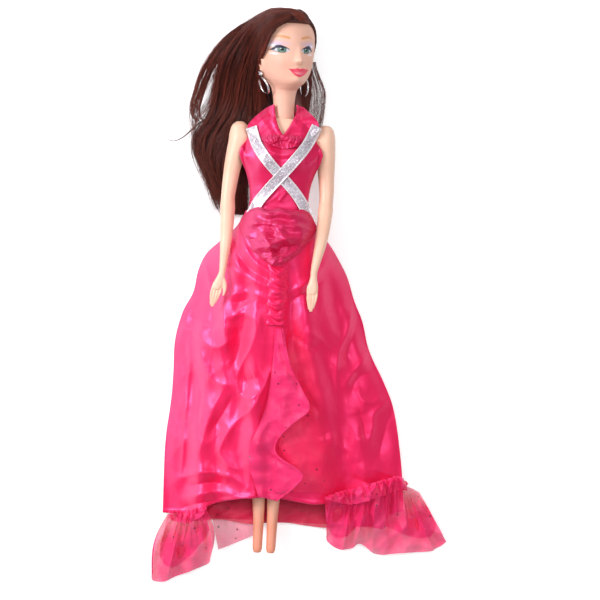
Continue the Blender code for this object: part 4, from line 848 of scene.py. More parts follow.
def finger(name, points, radii):
    """A tapering round finger through a few points in the doll's frame."""
    at = np.linspace(0, len(points) - 1, 14)
    table = np.column_stack([np.arange(len(points)), np.array(points), radii])
    x, y, z, radius = smooth(table, at)
    rings = ovals(np.column_stack([x, y, z]), radius, radius, 16)
    return capped(name, rings, BODY_PLASTIC)


# fingers: sideways place at the knuckle, at the tip (in palm half widths), length, radius
FINGERS = [(-0.84, -1.00, 0.90, 0.74), (-0.28, -0.32, 1.00, 0.80), (0.28, 0.34, 0.98, 0.78),
           (0.82, 0.98, 0.84, 0.70)]
FINGER_RADIUS = 0.00088
KNUCKLES = 0.868


# the thumb's bends from its root: outwards, along the arm, up
THUMB = [(0.0006, 0, 0), (0.0021, -0.0040, 0.0003), (0.0022, -0.0080, 0.0006),
         (0.0016, -0.0106, 0.0008)]


def make_arm(side, name):
    """One moulded arm: rounded shoulder, slight bend, flat palm, four fingers and a thumb."""
    down = np.concatenate([np.linspace(-0.104, 0.0, 20), np.linspace(0.01, 0.895, 110)])
    centres, width, depth = arm_line(side, down)
    width = np.where(down > 0.86, width * (1 - 0.35 * ramp(down, 0.875, 0.895)), width)
    elbow = 0.0003 * hill(down, 0.40, 0.03)
    centres[:, 0] -= side * 0.0006 * hill(down, -0.01, 0.06)
    width = width * (1 + 0.08 * hill(down, -0.01, 0.06))
    arm = capped(f"arm_{name}_skin", ovals(centres, width + elbow, depth, 40), BODY_PLASTIC)
    parts = [arm]
    palm, half, _ = arm_line(side, np.array(KNUCKLES))
    for knuckle, tip, length, radius in FINGERS:
        end, _, _ = arm_line(side, np.array(KNUCKLES + (1.0 - KNUCKLES) * length))
        start = palm + np.array((knuckle * half * 0.92, 0.0010, 0))
        mid = (start + end) / 2 + np.array((tip * half * 0.42, 0, 0.00035))
        stop = end + np.array((tip * half * 0.42, 0, -0.0004))
        size = FINGER_RADIUS * radius
        parts.append(finger("finger", [start, mid, stop], [size, size * 0.95, size * 0.62]))
    root, _, _ = arm_line(side, np.array(0.815))
    thumb = [root + np.array((-side * out, along, rise)) for out, along, rise in THUMB]
    parts.append(finger("thumb", thumb, [0.0012, 0.00115, 0.0009, 0.0005]))
    peg = rod("peg", PEG_RADIUS, SHOULDER_HALF_SPAN - TORSO_HALF_WIDTH * 0.45,
              (side * (SHOULDER_HALF_SPAN + TORSO_HALF_WIDTH * 0.45) / 2, SHOULDER_HEIGHT,
               BODY_RISE), ALONG_X)
    peg.data.materials.append(BODY_PLASTIC)
    parts.append(peg)
    arm = one_skin(join(parts, f"arm_{name}_skin"), 0.00029, 2)
    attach(arm, f"arm_{name}")
    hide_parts(f"arm_{name}")


# Head

HEAD_FRAME = (Matrix.Translation((0, NECK_BASE_HEIGHT, BODY_RISE))
              @ Matrix.Rotation(HEAD_NOD, 4, "X") @ Matrix.Rotation(HEAD_TURN, 4, "Y"))


def out_of_head(points):
    """Carry points from the head's own frame into the doll's."""
    spin = np.array(HEAD_FRAME.to_3x3())
    return np.asarray(points, float) @ spin.T + np.array(HEAD_FRAME.translation)


def head_size(share):
    width, front, back = smooth(HEAD_SHARES, share)
    return width * HEAD_HALF_WIDTH, front * HEAD_FRONT_DEPTH, back * HEAD_BACK_DEPTH


# the painted features' places on the moulded face, in millimetres
EYE_SHIFT = 2.2
EYE_SPREAD = 0.7
MOUTH_SHIFT = 0.8


def face_rise(x, share):
    """How far the face stands out from the plain skull."""
    side = np.abs(x) / HEAD_HALF_WIDTH
    y = share * HEAD_HEIGHT / MM
    mm = np.abs(x) / MM
    eye = np.abs(x / MM + EYE_SHIFT) - EYE_SPREAD
    mouth = np.abs(x / MM - MOUTH_SHIFT)
    nose = NOSE_RISE * hill(side, 0, 0.15) * hill(share, 0.562, 0.042)
    bridge = 0.45 * NOSE_RISE * hill(side, 0, 0.12) * hill(share, 0.625, 0.060)
    lips = LIP_RISE * hill(side, 0, 0.26) * hill(share, 0.452, 0.030)
    chin = CHIN_RISE * hill(side, 0, 0.26) * hill(share, 0.378, 0.036)
    eyes = EYE_HOLLOW * hill(eye, 6.1, 2.9) * hill(share, 0.656, 0.050)
    wings = 0.00045 * hill(mm, 1.75, 0.75) * hill(y, 31.2, 1.0)
    nostrils = -0.0006 * hill(mm, 0.85, 0.42) * hill(y, 30.4, 0.45)
    under_nose = -0.0005 * hill(mm, 0.0, 2.6) * hill(y, 29.3, 0.7)
    eyeball = 0.0009 * hill(eye, 6.1, 2.6) * hill(y, 36.7, 1.7)
    lid = 0.0003 * np.exp(-np.abs(y - 38.9 + 0.05 * (eye - 6.1) ** 2) / 0.3) * hill(eye, 6.1, 3.6)
    parting = -0.00042 * hill(y, lip_line(mouth), 0.24) * hill(mouth, 0, 5.2)
    upper = 0.00034 * hill(y, lip_line(mouth) + 1.1, 0.66) * hill(mouth, 0, 4.2)
    lower = 0.00055 * hill(y, lip_line(mouth) - 1.3, 0.85) * hill(mouth, 0, 3.6)
    philtrum = -0.00016 * hill(mm, 0, 0.55) * hill(y, 28.0, 0.9)
    cheeks = 0.0005 * hill(mm, 8.2, 3.0) * hill(y, 29.5, 4.0)
    return (nose + bridge + lips + chin - eyes + wings + nostrils + under_nose + eyeball + lid
            + parting + upper + lower + philtrum + cheeks)


def lip_line(mm):
    """Height of the line between the lips, which turns up at the corners; mm is sideways."""
    return 25.5 + 0.036 * mm**2 - 0.05 * hill(mm, 0, 0.8)


def head_points(angle, share, clearance=0.0, plain=False):
    """Points on the head in its own frame; angle 0 is its left ear, a quarter turn the face."""
    angle, share = np.broadcast_arrays(np.asarray(angle, float), np.asarray(share, float))
    width, front, back = head_size(share)
    c, s = np.cos(angle), np.sin(angle)
    x = (width + clearance) * signed_power(c, 0.94)
    z = (np.where(s >= 0, front, back) + clearance) * signed_power(s, 0.94)
    if not plain:
        z = z + np.where(s > 0, face_rise(x, share) * np.clip(s, 0, 1), 0)
    y = share * HEAD_HEIGHT + clearance * ramp(share, 0.70, 0.99)
    return np.stack([x, y, z], -1)


def ear_rise(points):
    """The ears' rim and hollow, as height above the side of the head."""
    y, z = points[..., 1] / MM, points[..., 2] / MM
    along, across = (y - 28.6) / 3.7, (z + 1.2) / 2.1
    along = along - 0.12 * across
    ring = np.hypot(along, across)
    side = ramp(np.abs(points[..., 0]) / HEAD_HALF_WIDTH, 0.55, 0.75)
    rim = 1.35 * hill(ring, 0.84, 0.24) + 0.45 * hill(ring, 0.30, 0.30)
    lobe = 0.6 * hill(y, 25.4, 1.1) * hill(z, -1.9, 1.2)
    return (rim * (ring < 1.6) + lobe) * side * MM


def layer(paint, colour, mask):
    mask = np.clip(mask, 0, 1)[..., None]
    return paint * (1 - mask) + np.array(colour) * mask


def edge(distance, softness):
    """1 inside, 0 outside, soft over a given width; distance is negative inside."""
    return 1 - ramp(distance, -softness, softness)


def face_paint(points):
    """The factory's painted face, with painted shade in the nostrils and a painted highlight on the
    lower lip, in the head's own frame, in millimetres.
    """
    x, y = points[..., 0] / MM, points[..., 1] / MM
    front = ramp(points[..., 2] / HEAD_FRONT_DEPTH, 0.10, 0.30)
    mm = np.abs(x)
    eye = np.abs(x + EYE_SHIFT) - EYE_SPREAD
    mouth = np.abs(x - MOUTH_SHIFT)
    paint = np.broadcast_to(np.array(VINYL), points.shape).copy()
    gloss = np.zeros(x.shape)
    neck = ramp(y, 19.0, 8.0)
    paint = layer(paint, srgb(244, 190, 168), 0.6 * neck)
    cheek = hill(mm, 8.5, 3.4) * hill(y, 29.0, 3.4)
    paint = layer(paint, srgb(238, 160, 140), 0.40 * cheek * front)
    # painted shade in the nostril hollows
    nostril = hill(mm, 0.85, 0.45) * hill(y, 29.5, 0.4)
    paint = layer(paint, srgb(236, 150, 120), 0.45 * nostril * front)
    # brows: a low arch, thinner outwards
    rise = 43.0 + 0.9 * hill(eye, 6.6, 3.2) - 0.10 * np.clip(eye - 8.0, 0, 9) ** 1.6
    thick = 0.66 * (1 - 0.72 * ramp(eye, 4.6, 10.4))
    brow = edge(np.abs(y - rise) - thick, 0.22) * ramp(eye, 1.9, 2.8) * ramp(eye, 11.2, 8.0)
    paint = layer(paint, srgb(218, 150, 90), 0.85 * brow * front)
    # eye shadow
    shade = hill(eye, 8.0, 2.4) * hill(y, 39.9, 1.45)
    paint = layer(paint, srgb(204, 186, 222), 0.85 * shade * front)
    white = hill(eye, 9.8, 1.1) * hill(y, 38.9, 0.9)
    white = white + 0.9 * hill(eye, 8.8, 1.4) * hill(y, 34.7, 0.5)
    paint = layer(paint, srgb(248, 244, 252), np.clip(white, 0, 1) * front)
    inner = hill(eye, 4.2, 2.4) * hill(y, 40.2, 0.9)
    paint = layer(paint, srgb(206, 180, 212), 0.5 * inner * front)
    # eye opening
    across = (eye - 6.1) / 3.8
    bow = np.clip(1 - across**2, 0, 1)
    top = 36.7 + 1.50 * bow**0.6 + 0.10 * across
    low = 36.7 - 1.30 * bow**0.9 + 0.10 * across
    inside = np.minimum(top - y, y - low)
    opening = edge(-inside, 0.14) * (np.abs(across) < 1)
    paint = layer(paint, srgb(202, 200, 210), opening * front)
    iris = np.hypot(eye - 5.9, y - 37.0)
    paint = layer(paint, srgb(40, 56, 58), opening * edge(iris - 1.95, 0.14) * front)
    paint = layer(paint, srgb(92, 126, 112), opening * edge(iris - 1.65, 0.25) * front)
    paint = layer(paint, srgb(126, 166, 150),
                  0.7 * opening * edge(np.hypot(eye - 5.9, y - 35.9) - 0.65, 0.35) * front)
    paint = layer(paint, srgb(16, 22, 28), opening * edge(iris - 0.75, 0.10) * front)
    glint = np.hypot(x + EYE_SHIFT - np.sign(x + EYE_SHIFT) * (5.9 + EYE_SPREAD) + 0.6, y - 37.6)
    paint = layer(paint, (1, 1, 1), 0.9 * edge(glint - 0.30, 0.10) * opening * front)
    # upper line that runs out in a wing, and a thin lower line
    wing_line = np.where(eye < 8.6, top, 37.4 - 0.58 * (eye - 8.6))
    wide = 0.24 + 0.66 * ramp(eye, 3.0, 7.6) * ramp(eye, 10.8, 8.6)
    wing = edge(np.abs(y - wing_line - wide * 0.35) - wide, 0.16)
    wing *= ramp(eye, 2.0, 2.8) * ramp(eye, 10.9, 9.9)
    paint = layer(paint, srgb(24, 30, 58), wing * front)
    under = edge(np.abs(y - low + 0.05) - 0.18, 0.12) * (np.abs(across) < 1) * ramp(eye, 3.0, 5.0)
    paint = layer(paint, srgb(84, 76, 96), 0.7 * under * front)
    # lips
    middle = lip_line(mouth)
    bow_top = middle + 2.2 * np.clip(1 - (mouth / 6.4) ** 1.5, 0, 1) - 0.5 * hill(mouth, 0, 0.8)
    bow_low = middle - 2.5 * np.clip(1 - (mouth / 5.6) ** 2.0, 0, 1) ** 0.9
    lips = edge(-np.minimum(bow_top - y, y - bow_low), 0.16) * (mouth < 6.4)
    paint = layer(paint, srgb(238, 58, 92), lips * front)
    # painted highlight: pale pink on the lower lip, just below the line between the lips
    paint = layer(paint, srgb(248, 150, 164), 0.9 * hill(x, -0.2, 2.0) * hill(y, middle - 0.5, 0.8)
                  * lips * front)
    paint = layer(paint, srgb(168, 30, 58), 0.55 * edge(np.abs(y - middle) - 0.12, 0.10) * lips
                  * ramp(mouth, 1.2, 3.6) * front)
    gloss += 0.22 * lips + 0.20 * opening
    return paint, gloss * front


def make_head():
    """The painted vinyl head, closed at the neck's foot round the bore for its peg."""
    columns = 256
    even = np.linspace(0, TURN, columns, endpoint=False)
    angle = even - 0.36 * np.sin(2 * (even - math.pi / 2)) / 2 + 0.16 * np.cos(even)
    share = np.concatenate([np.linspace(RUNNING_GAP / HEAD_HEIGHT, 0.20, 22),
                            np.linspace(0.208, 0.80, 168), np.linspace(0.81, 0.99, 24)])
    shell = head_points(angle[None, :], share[:, None])
    rise = ear_rise(shell)
    outwards = np.sign(shell[..., 0])
    shell[..., 0] += outwards * rise
    bore = NECK_PEG_RADIUS + RUNNING_GAP
    inner = []
    for height, radius in ((NECK_PEG_REACH + RUNNING_GAP * 2, 0.0001),
                           (NECK_PEG_REACH + RUNNING_GAP * 2, bore + 0.0012),
                           (NECK_PEG_REACH - 0.004, bore + 0.0012),
                           (NECK_PEG_REACH - 0.0045, bore), (NECK_FOOT_GAP, bore)):
        inner.append(np.stack([radius * np.cos(angle), np.full(columns, height),
                               radius * np.sin(angle)], -1))
    rings = np.concatenate([np.array(inner), shell])
    paint, gloss = face_paint(rings)
    head = capped("head_painted", out_of_head(rings), HEAD_VINYL)
    colour = head.data.color_attributes.new("paint", "FLOAT_COLOR", "POINT")
    flat = np.concatenate([paint.reshape(-1, 3), np.ones((paint.size // 3, 1))], axis=1)
    colour.data.foreach_set("color", flat.astype(np.float32).ravel())
    shine = head.data.attributes.new("gloss", "FLOAT", "POINT")
    shine.data.foreach_set("value", gloss.astype(np.float32).ravel())
    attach(head, "head")
    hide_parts("head_shell")


def ear_side():
    width, _, back = head_size(np.array(EARRING_HEIGHT / HEAD_HEIGHT))
    return float(width * math.sqrt(1 - (EARRING_SETBACK / float(back)) ** 2))


def make_earring(side, name):
    """A cut-stone stud in a claw setting, and the hoop that hangs from it."""
    lobe = ear_side() + RUNNING_GAP + STUD_RADIUS
    spot = np.array((side * lobe, EARRING_HEIGHT, -EARRING_SETBACK))
    mesh = bmesh.new()
    bmesh.ops.create_icosphere(mesh, subdivisions=2, radius=STUD_RADIUS)
    for i in range(4):
        claw = TURN * (i + 0.5) / 4
        centre = Vector((side * STUD_RADIUS * 0.5, STUD_RADIUS * 0.78 * math.cos(claw),
                         STUD_RADIUS * 0.78 * math.sin(claw)))
        bmesh.ops.create_icosphere(mesh, subdivisions=2, radius=STUD_RADIUS * 0.30,
                                   matrix=Matrix.Translation(centre))
    data = bpy.data.meshes.new(f"earring_stud_{name}_cut")
    mesh.to_mesh(data)
    mesh.free()
    stud = new_object(data.name, data, SILVER)
    data.transform(Matrix.Translation(DOLL_ORIGIN) @ HEAD_FRAME @ Matrix.Translation(spot))
    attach(stud, "head")
    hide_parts(f"earring_stud_{name}")
    lean = HOOP_LEAN if side < 0 else 0
    link = spot - np.array((0, STUD_RADIUS + RUNNING_GAP, 0))
    drop = HOOP_RADIUS + HOOP_WIRE_RADIUS
    around = TURN * np.arange(72) / 72
    section = TURN * np.arange(12) / 12
    facet = 1 + 0.10 * np.cos(24 * around)
    rings = np.zeros((72, 12, 3))
    out = HOOP_RADIUS + HOOP_WIRE_RADIUS * facet[:, None] * np.cos(section)[None, :]
    rings[..., 0] = HOOP_WIRE_RADIUS * 1.1 * facet[:, None] * np.sin(section)[None, :]
    rings[..., 1] = out * np.cos(around)[:, None] - drop
    rings[..., 2] = out * np.sin(around)[:, None]
    frame_at = Matrix.Translation(DOLL_ORIGIN) @ HEAD_FRAME @ Matrix.Translation(link)
    frame_at = frame_at @ Matrix.Rotation(lean, 4, "Z")
    closed = np.concatenate([rings, rings[:1]])
    data = grid_mesh(f"earring_hoop_{name}_wire", closed, wrap=True)
    mesh = bmesh.new()
    mesh.from_mesh(data)
    bmesh.ops.remove_doubles(mesh, verts=mesh.verts, dist=1e-7)
    bmesh.ops.recalc_face_normals(mesh, faces=mesh.faces)
    mesh.to_mesh(data)
    mesh.free()
    data.transform(frame_at @ Matrix.Translation(-DOLL_ORIGIN))
    data.shade_smooth()
    hoop = new_object(data.name, data, SILVER)
    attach(hoop, f"hoop_{name}")
    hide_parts(f"earring_hoop_{name}")


# Gown

def skirt_reach(share):
    return smooth(SKIRT_SHARES, share)


def skirt_z(side, down):
    """Under side of the front skirt; side -1 at the right seam, 1 at the left."""
    _, _, low, crown = skirt_reach(1 - down)
    power = 2.3 - 0.45 * hill(down, 0.27, 0.09) - 0.40 * ramp(down, 0.30, 0.60)
    dome = 1 - np.abs(side) ** power
    waist_round = np.sqrt(1 - np.minimum(side**2, 1.0))
    dome = dome + (waist_round - dome) * (1 - ramp(down, 0.0, 0.14))
    z = SKIRT_CROWN * (low + (crown - low) * dome)
    fullness = ramp(down, 0.05, 0.45) * (1 - np.abs(side) ** 5)
    folds = np.cos(13 * side + 2.2 * down) + 0.5 * np.cos(23 * side - 5 * down)
    return z + SKIRT_FOLD * folds * fullness


def skirt_x(side, down):
    right, left, _, _ = skirt_reach(1 - down)
    return side * np.where(side > 0, left * SKIRT_LEFT_WIDTH, right * SKIRT_RIGHT_WIDTH)


def drop_share(height):
    return (WAIST_HEIGHT - height) / (WAIST_HEIGHT - SKIRT_HEM_HEIGHT)


def hem_height(side):
    lift = SKIRT_HEM_HEIGHT * 0.67 * (1 - np.minimum(np.abs(side) / 0.75, 1.0) ** 2)
    return SKIRT_HEM_HEIGHT * (1 + 1.2 * ramp(side, 0.30, 0.95)) + lift


# folds, places in the view: half width in pixels, height in millimetres, line
SKIRT_FOLDS = [
    (4.0, 1.5, [(225, 283), (224, 305), (225, 325), (227, 348)]),
    (7.0, -1.2, [(214, 292), (213, 312), (215, 328)]),
    (4.5, 1.3, [(230, 318), (244, 313), (254, 317), (257, 328), (252, 345),
                (243, 362), (236, 380)]),
    (6.5, -1.4, [(238, 326), (240, 345), (232, 368)]),
    (4.5, 1.4, [(236, 384), (241, 394), (252, 397), (263, 388), (269, 372)]),
    (6.0, -1.3, [(246, 382), (256, 378)]),
    (4.5, 1.2, [(172, 333), (186, 330), (198, 334), (210, 346), (222, 346), (232, 338)]),
    (8.0, -1.4, [(186, 318), (202, 322), (216, 332)]),
    (6.0, 1.5, [(188, 334), (189, 360), (187, 385), (184, 420), (182, 455), (180, 478)]),
    (5.0, 1.2, [(200, 350), (206, 368), (216, 382), (230, 386)]),
    (6.0, -1.2, [(197, 372), (201, 395), (198, 420), (203, 445)]),
    (5.0, 1.1, [(222, 392), (213, 410), (205, 432), (200, 452)]),
    (5.0, 1.5, [(262, 392), (252, 408), (238, 420), (226, 436), (220, 452),
                (229, 466), (240, 470)]),
    (5.0, -1.2, [(232, 396), (224, 412), (214, 428)]),
    (4.5, 1.5, [(181, 480), (196, 474), (214, 474), (232, 478), (246, 488)]),
    (4.0, -1.3, [(190, 488), (208, 484), (226, 486)]),
    (4.5, 1.4, [(186, 500), (202, 495), (222, 493), (240, 498)]),
    (3.5, -1.0, [(184, 510), (204, 504), (226, 504)]),
    (4.0, 1.2, [(196, 512), (214, 512), (234, 504), (258, 494)]),
    (3.5, 1.1, [(204, 262), (208, 276), (212, 292)]),
    (3.5, 1.0, [(228, 234), (233, 254), (243, 270), (262, 284), (282, 290)]),
    (3.0, -0.9, [(234, 236), (240, 256), (252, 270), (268, 280)]),
    (3.0, 1.1, [(239, 228), (246, 248), (256, 263), (272, 274), (283, 284)]),
    (3.5, 1.0, [(222, 262), (240, 274), (258, 284)]),
    (4.0, 0.9, [(228, 296), (246, 292), (262, 296), (272, 302)]),
    (4.0, -0.9, [(232, 303), (250, 301), (266, 306)]),
    (3.0, 0.8, [(234, 316), (246, 306), (258, 302)]),
    (3.2, 1.0, [(290, 292), (304, 284), (318, 272), (328, 258)]),
    (3.0, -1.0, [(293, 300), (308, 291), (322, 280)]),
    (3.5, 1.2, [(352, 296), (351, 315), (347, 332), (339, 352), (336, 372), (337, 392)]),
    (6.5, -1.6, [(358, 300), (357, 322), (350, 345), (344, 366)]),
    (5.0, 1.5, [(366, 318), (374, 330), (373, 345), (366, 358), (354, 372), (345, 386)]),
    (5.5, -1.3, [(386, 352), (378, 362), (370, 372), (356, 380), (352, 392)]),
    (4.5, 1.2, [(384, 366), (392, 378), (393, 394)]),
    (4.0, 1.0, [(358, 388), (362, 400), (372, 404), (384, 398)]),
    (5.5, 1.7, [(400, 388), (394, 400), (382, 408), (374, 416), (373, 428), (370, 441)]),
    (4.5, -1.7, [(360, 412), (364, 426), (366, 440)]),
    (5.5, -1.3, [(396, 412), (388, 424), (384, 440), (380, 456)]),
    (6.0, 1.4, [(400, 432), (402, 450), (404, 468)]),
    (6.5, 1.3, [(330, 432), (336, 444), (348, 452), (352, 466)]),
    (6.0, -1.2, [(312, 400), (322, 420), (326, 440)]),
    (5.0, 1.1, [(304, 330), (318, 338), (330, 350)]),
    (5.5, -1.2, [(290, 332), (304, 342), (316, 352)]),
    (4.0, 1.0, [(372, 470), (388, 476), (402, 484)]),
    (5.0, -1.0, [(352, 478), (366, 484), (384, 490)]),
]


def folds_at(x, height, table):
    """Sum of a table's folds at places on the doll, in metres: crisp crests, broad flanks."""
    px, py = to_view(x, height)
    rise = np.zeros(px.shape)
    for width, tall, line in table:
        away, along = near_line(px, py, curved(line, 4))
        body = ramp(along, -0.15, 0.18) * ramp(along, 1.15, 0.82)
        rise += tall * MM * body * np.exp(-((away / (1.12 * width)) ** 2 + 0.012) ** 0.57)
    return 1.50 * rise


def crumple(x, y, size, seed):
    """Creased noise from -1 to 1: broad soft planes that meet in sharper lines."""
    chance = np.random.RandomState(seed)
    total = np.zeros(np.shape(x))
    for _ in range(5):
        lean, first, second = chance.rand(3) * TURN
        a = (x * math.cos(lean) + y * math.sin(lean)) / size * (0.7 + 0.5 * chance.rand())
        b = (y * math.cos(lean) - x * math.sin(lean)) / size * (0.4 + 0.4 * chance.rand())
        total += 1 - 2 * np.abs(np.sin(2.6 * a + first + 1.3 * np.sin(2.1 * b + second)))
    return total / 3.2


def satin_front(side, height):
    """Upper surface of the front skirt with all its folds."""
    side, height = np.broadcast_arrays(side, height)
    down = drop_share(height)
    x = skirt_x(side, down)
    z = skirt_z(side, down)
    hold = (1 - np.abs(side) ** 10) * ramp(down, 0.0, 0.06)
    z = z + folds_at(x, height, SKIRT_FOLDS) * hold
    loose = hold * ramp(down, 0.04, 0.3)
    z = z + 0.0010 * crumple(x, height * 0.55, 0.021, SEED) * loose
    z = z + 0.00045 * crumple(x + 0.2, height * 0.8, 0.010, SEED + 9) * loose
    z = z - 0.0006 * (1 - ramp(down, 0.0, 0.022))
    floor = CLOTH + 2 * RUNNING_GAP
    z = floor + np.logaddexp(0, (z - floor) / 0.0005) * 0.0005
    return np.stack([x, height, z], -1)


SATIN_THICKNESS = 0.0005


def make_front(name, node, first, last, columns=176, rows=258):
    side = np.linspace(first, last, columns)[None, :]
    low = hem_height(side)
    height = low + (WAIST_HEIGHT - low) * np.linspace(0, 1, rows)[:, None]
    points = satin_front(side, height)
    roll = hill(height - low, 0.0010, 0.0007)
    points[..., 2] += 0.00035 * roll
    panel = sheet(name, points, SATIN, SATIN_THICKNESS)
    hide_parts(node)
    return panel


def tree_of(items):
    points, faces = [], []
    for item in items:
        start = len(points)
        points += [vertex.co.copy() for vertex in item.data.vertices]
        faces += [[start + v for v in face.vertices] for face in item.data.polygons]
    return BVHTree.FromPolygons(points, faces)


DOWNWARD = Vector((0, 0, -1))


def lie_on(tree, x, height, lift, spread=0.0008):
    """Height of a sheet that lies on what is under it, touching its highest places."""
    x, height = np.broadcast_arrays(np.asarray(x, float), np.asarray(height, float))
    found = np.zeros(x.shape)
    for index in np.ndindex(x.shape):
        best = 0.0
        for dx, dy in ((0, 0), (spread, 0), (-spread, 0), (0, spread), (0, -spread)):
            start = Vector((x[index] + dx, height[index] + dy, 0.09)) + DOLL_ORIGIN
            hit = tree.ray_cast(start, DOWNWARD)[0]
            if hit is not None:
                best = max(best, hit.z)
        found[index] = best
    return found + lift


def soften(z, passes=2):
    """Even out a grid of heights without letting it sink."""
    for _ in range(passes):
        padded = np.pad(z, 1, mode="edge")
        mean = (padded[:-2, 1:-1] + padded[2:, 1:-1] + padded[1:-1, :-2] + padded[1:-1, 2:]) / 4
        z = np.maximum(z, 0.5 * z + 0.5 * mean)
    return z


def back_z(side, height):
    """Under side of the back skirt: round the waist, then flat on the table."""
    _, _, low, _ = skirt_reach(1 - drop_share(height))
    settle = ramp(height, WAIST_HEIGHT * 0.72, WAIST_HEIGHT)
    _, _, back = torso_size(np.maximum(height, CROTCH_HEIGHT))
    side_z = np.maximum(low * SKIRT_CROWN - CLOTH - 2 * RUNNING_GAP, 0)
    middle_z = BODY_RISE - back - BODICE_OUTER - TULLE - 3 * CLOTH
    low_z = np.minimum(side_z, middle_z)
    round_z = side_z - (side_z - low_z) * (1 - np.abs(side) ** 2.6) ** (1 / 2.6)
    return np.where(height > WAIST_HEIGHT * 0.72, np.maximum(round_z * settle**0.5, 0), 0.0)


def make_skirt_back():
    side = np.linspace(-1, 1, 172)[None, :]
    low = BACK_HEM_HEIGHT + SKIRT_HEM_HEIGHT * 0.5 * ramp(np.abs(side), 0.75, 1.0)
    height = low + (WAIST_HEIGHT - low) * np.linspace(0, 1, 172)[:, None]
    side, height = np.broadcast_arrays(side, height)
    down = drop_share(np.maximum(height, SKIRT_HEM_HEIGHT))
    x = skirt_x(side, down) * (1 - 0.05 * ramp(height, HIP_HEIGHT * 0.85, WAIST_HEIGHT))
    z = back_z(side, height) + 0.00005 + 0.0002 * (1 + crumple(x, height, 0.02, SEED + 8))
    points = np.stack([x, height, z], -1)
    panel = sheet("skirt_back_satin", points, SATIN, SATIN_THICKNESS)
    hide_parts("skirt_back")
    return panel


def make_lining():
    side = np.linspace(-0.86, 0.86, 120)[None, :]
    low = BACK_HEM_HEIGHT * (0.93 + 0.05 * np.sin(11 * side))
    height = low + (CROTCH_HEIGHT * 0.8 - low) * np.linspace(0, 1, 130)[:, None] ** 1.2
    side, height = np.broadcast_arrays(side, height)
    down = drop_share(np.maximum(height, SKIRT_HEM_HEIGHT))
    x = skirt_x(side, down)
    wave = 0.0004 * (1 + np.sin(7 * side + 3 * down)) + 0.0003 * (
        1 + crumple(x, height, 0.012, SEED + 1))
    wave = wave + 0.0006 * (1 + crumple(x, height, 0.006, SEED + 17)) * ramp(height, 0.030, 0.018)
    points = np.stack([x, height, CLOTH + RUNNING_GAP * 2 + wave], -1)
    lining = sheet("lining_net", points, NET_LINING)
    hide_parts("lining")
    return lining


DRAPE_FOLDS = [
    (3.2, 1.5, [(246, 226), (262, 224), (280, 226), (300, 228), (316, 232)]),
    (3.0, -1.0, [(248, 232), (262, 232), (276, 236)]),
    (3.6, 1.4, [(258, 212), (272, 216), (282, 214), (300, 217)]),
    (3.0, 1.2, [(238, 232), (248, 250), (258, 262), (274, 272)]),
    (2.6, -1.2, [(246, 236), (254, 250), (264, 258)]),
    (3.4, 1.6, [(262, 234), (270, 246), (272, 258), (268, 266)]),
    (4.6, -2.0, [(272, 256), (284, 248), (300, 247), (314, 251), (321, 259)]),
    (3.4, 1.7, [(266, 250), (278, 242), (296, 239), (314, 242), (326, 250), (328, 258)]),
    (3.6, 1.5, [(276, 268), (288, 262), (300, 264), (306, 272), (302, 282)]),
    (3.0, -1.2, [(282, 272), (292, 270), (296, 278)]),
    (3.0, 1.3, [(308, 236), (322, 232), (330, 238), (332, 248)]),
    (2.6, -1.0, [(312, 240), (322, 240)]),
    (2.8, 1.1, [(292, 290), (304, 282), (316, 270), (326, 262)]),
    (2.6, 1.0, [(276, 230), (284, 237), (292, 246)]),
    (2.4, -1.0, [(270, 226), (278, 234)]),
]


# waist drape: share of its height from the foot, half width in shares of the torso's
DRAPE_SHARES = [
    (0.00, 0.20), (0.10, 0.40), (0.25, 0.62), (0.45, 0.82), (0.65, 0.95), (0.82, 0.90),
    (1.00, 0.76),
]
DRAPE_HEART = (283.0, 256.0)


def make_drape(tree):
    """The swirl of gathered satin below the waist."""
    low = HIP_HEIGHT - RUCHE_WIDTH * 0.2
    high = WAIST_HEIGHT + CLOTH
    v = np.linspace(0, 1, 90)[:, None]
    u = np.linspace(-1, 1, 110)[None, :]
    half = TORSO_HALF_WIDTH * smooth(DRAPE_SHARES, v)[0]
    wavy = 0.0008 * np.sin(9 * u + 1) * v**6 - 0.0010 * np.cos(math.pi * u) * (1 - v) ** 4
    x, height, v, u = np.broadcast_arrays(half * u, low + (high - low) * v + wavy, v, u)
    px, py = to_view(x, height)
    turn = np.arctan2(py - DRAPE_HEART[1], px - DRAPE_HEART[0])
    away = np.hypot(px - DRAPE_HEART[0], py - DRAPE_HEART[1])
    pleat = 1 - np.abs(np.sin(3.5 * turn + 0.13 * away + 0.7 * np.sin(2 * turn)))
    swirl = np.cos(np.hypot(2.4 * u, 5 * (v - 0.45)) * 4.2
                   + 1.4 * np.arctan2(v - 0.45, u * 0.5 + 0.01))
    lift = RUNNING_GAP + 0.3 * DRAPE_RISE * (0.5 + 0.5 * swirl) * (1 - u**4)
    lift = lift + 0.0013 * pleat * ramp(away, 2, 9) * (1 - u**6)
    base = lie_on(tree, x, np.minimum(height, WAIST_HEIGHT - 0.0006), 0.0)
    folds = folds_at(x, height, DRAPE_FOLDS) * (1 - u**6) + 0.0016 * (1 - u**4)
    full = 1 - 0.75 * ramp(v, 0.93, 1.0)
    z = base + np.maximum((lift + folds) * full, RUNNING_GAP)
    z = z + 0.0005 * (1 + crumple(x, height, 0.006, SEED + 2)) * (1 - u**4) * full
    drape = sheet("waist_drape_satin", np.stack([x, height, soften(z, 2)], -1),
                  SATIN_GATHERED_PAINTED_SHADE, SATIN_THICKNESS)
    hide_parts("waist_drape")
    return drape


RUCHE_TOP = HIP_HEIGHT + RUCHE_WIDTH * 0.05
RUCHE_FOOT = HIP_HEIGHT - RUCHE_WIDTH * 3.5
FLOUNCE_FOOT = SKIRT_HEM_HEIGHT * 1.7


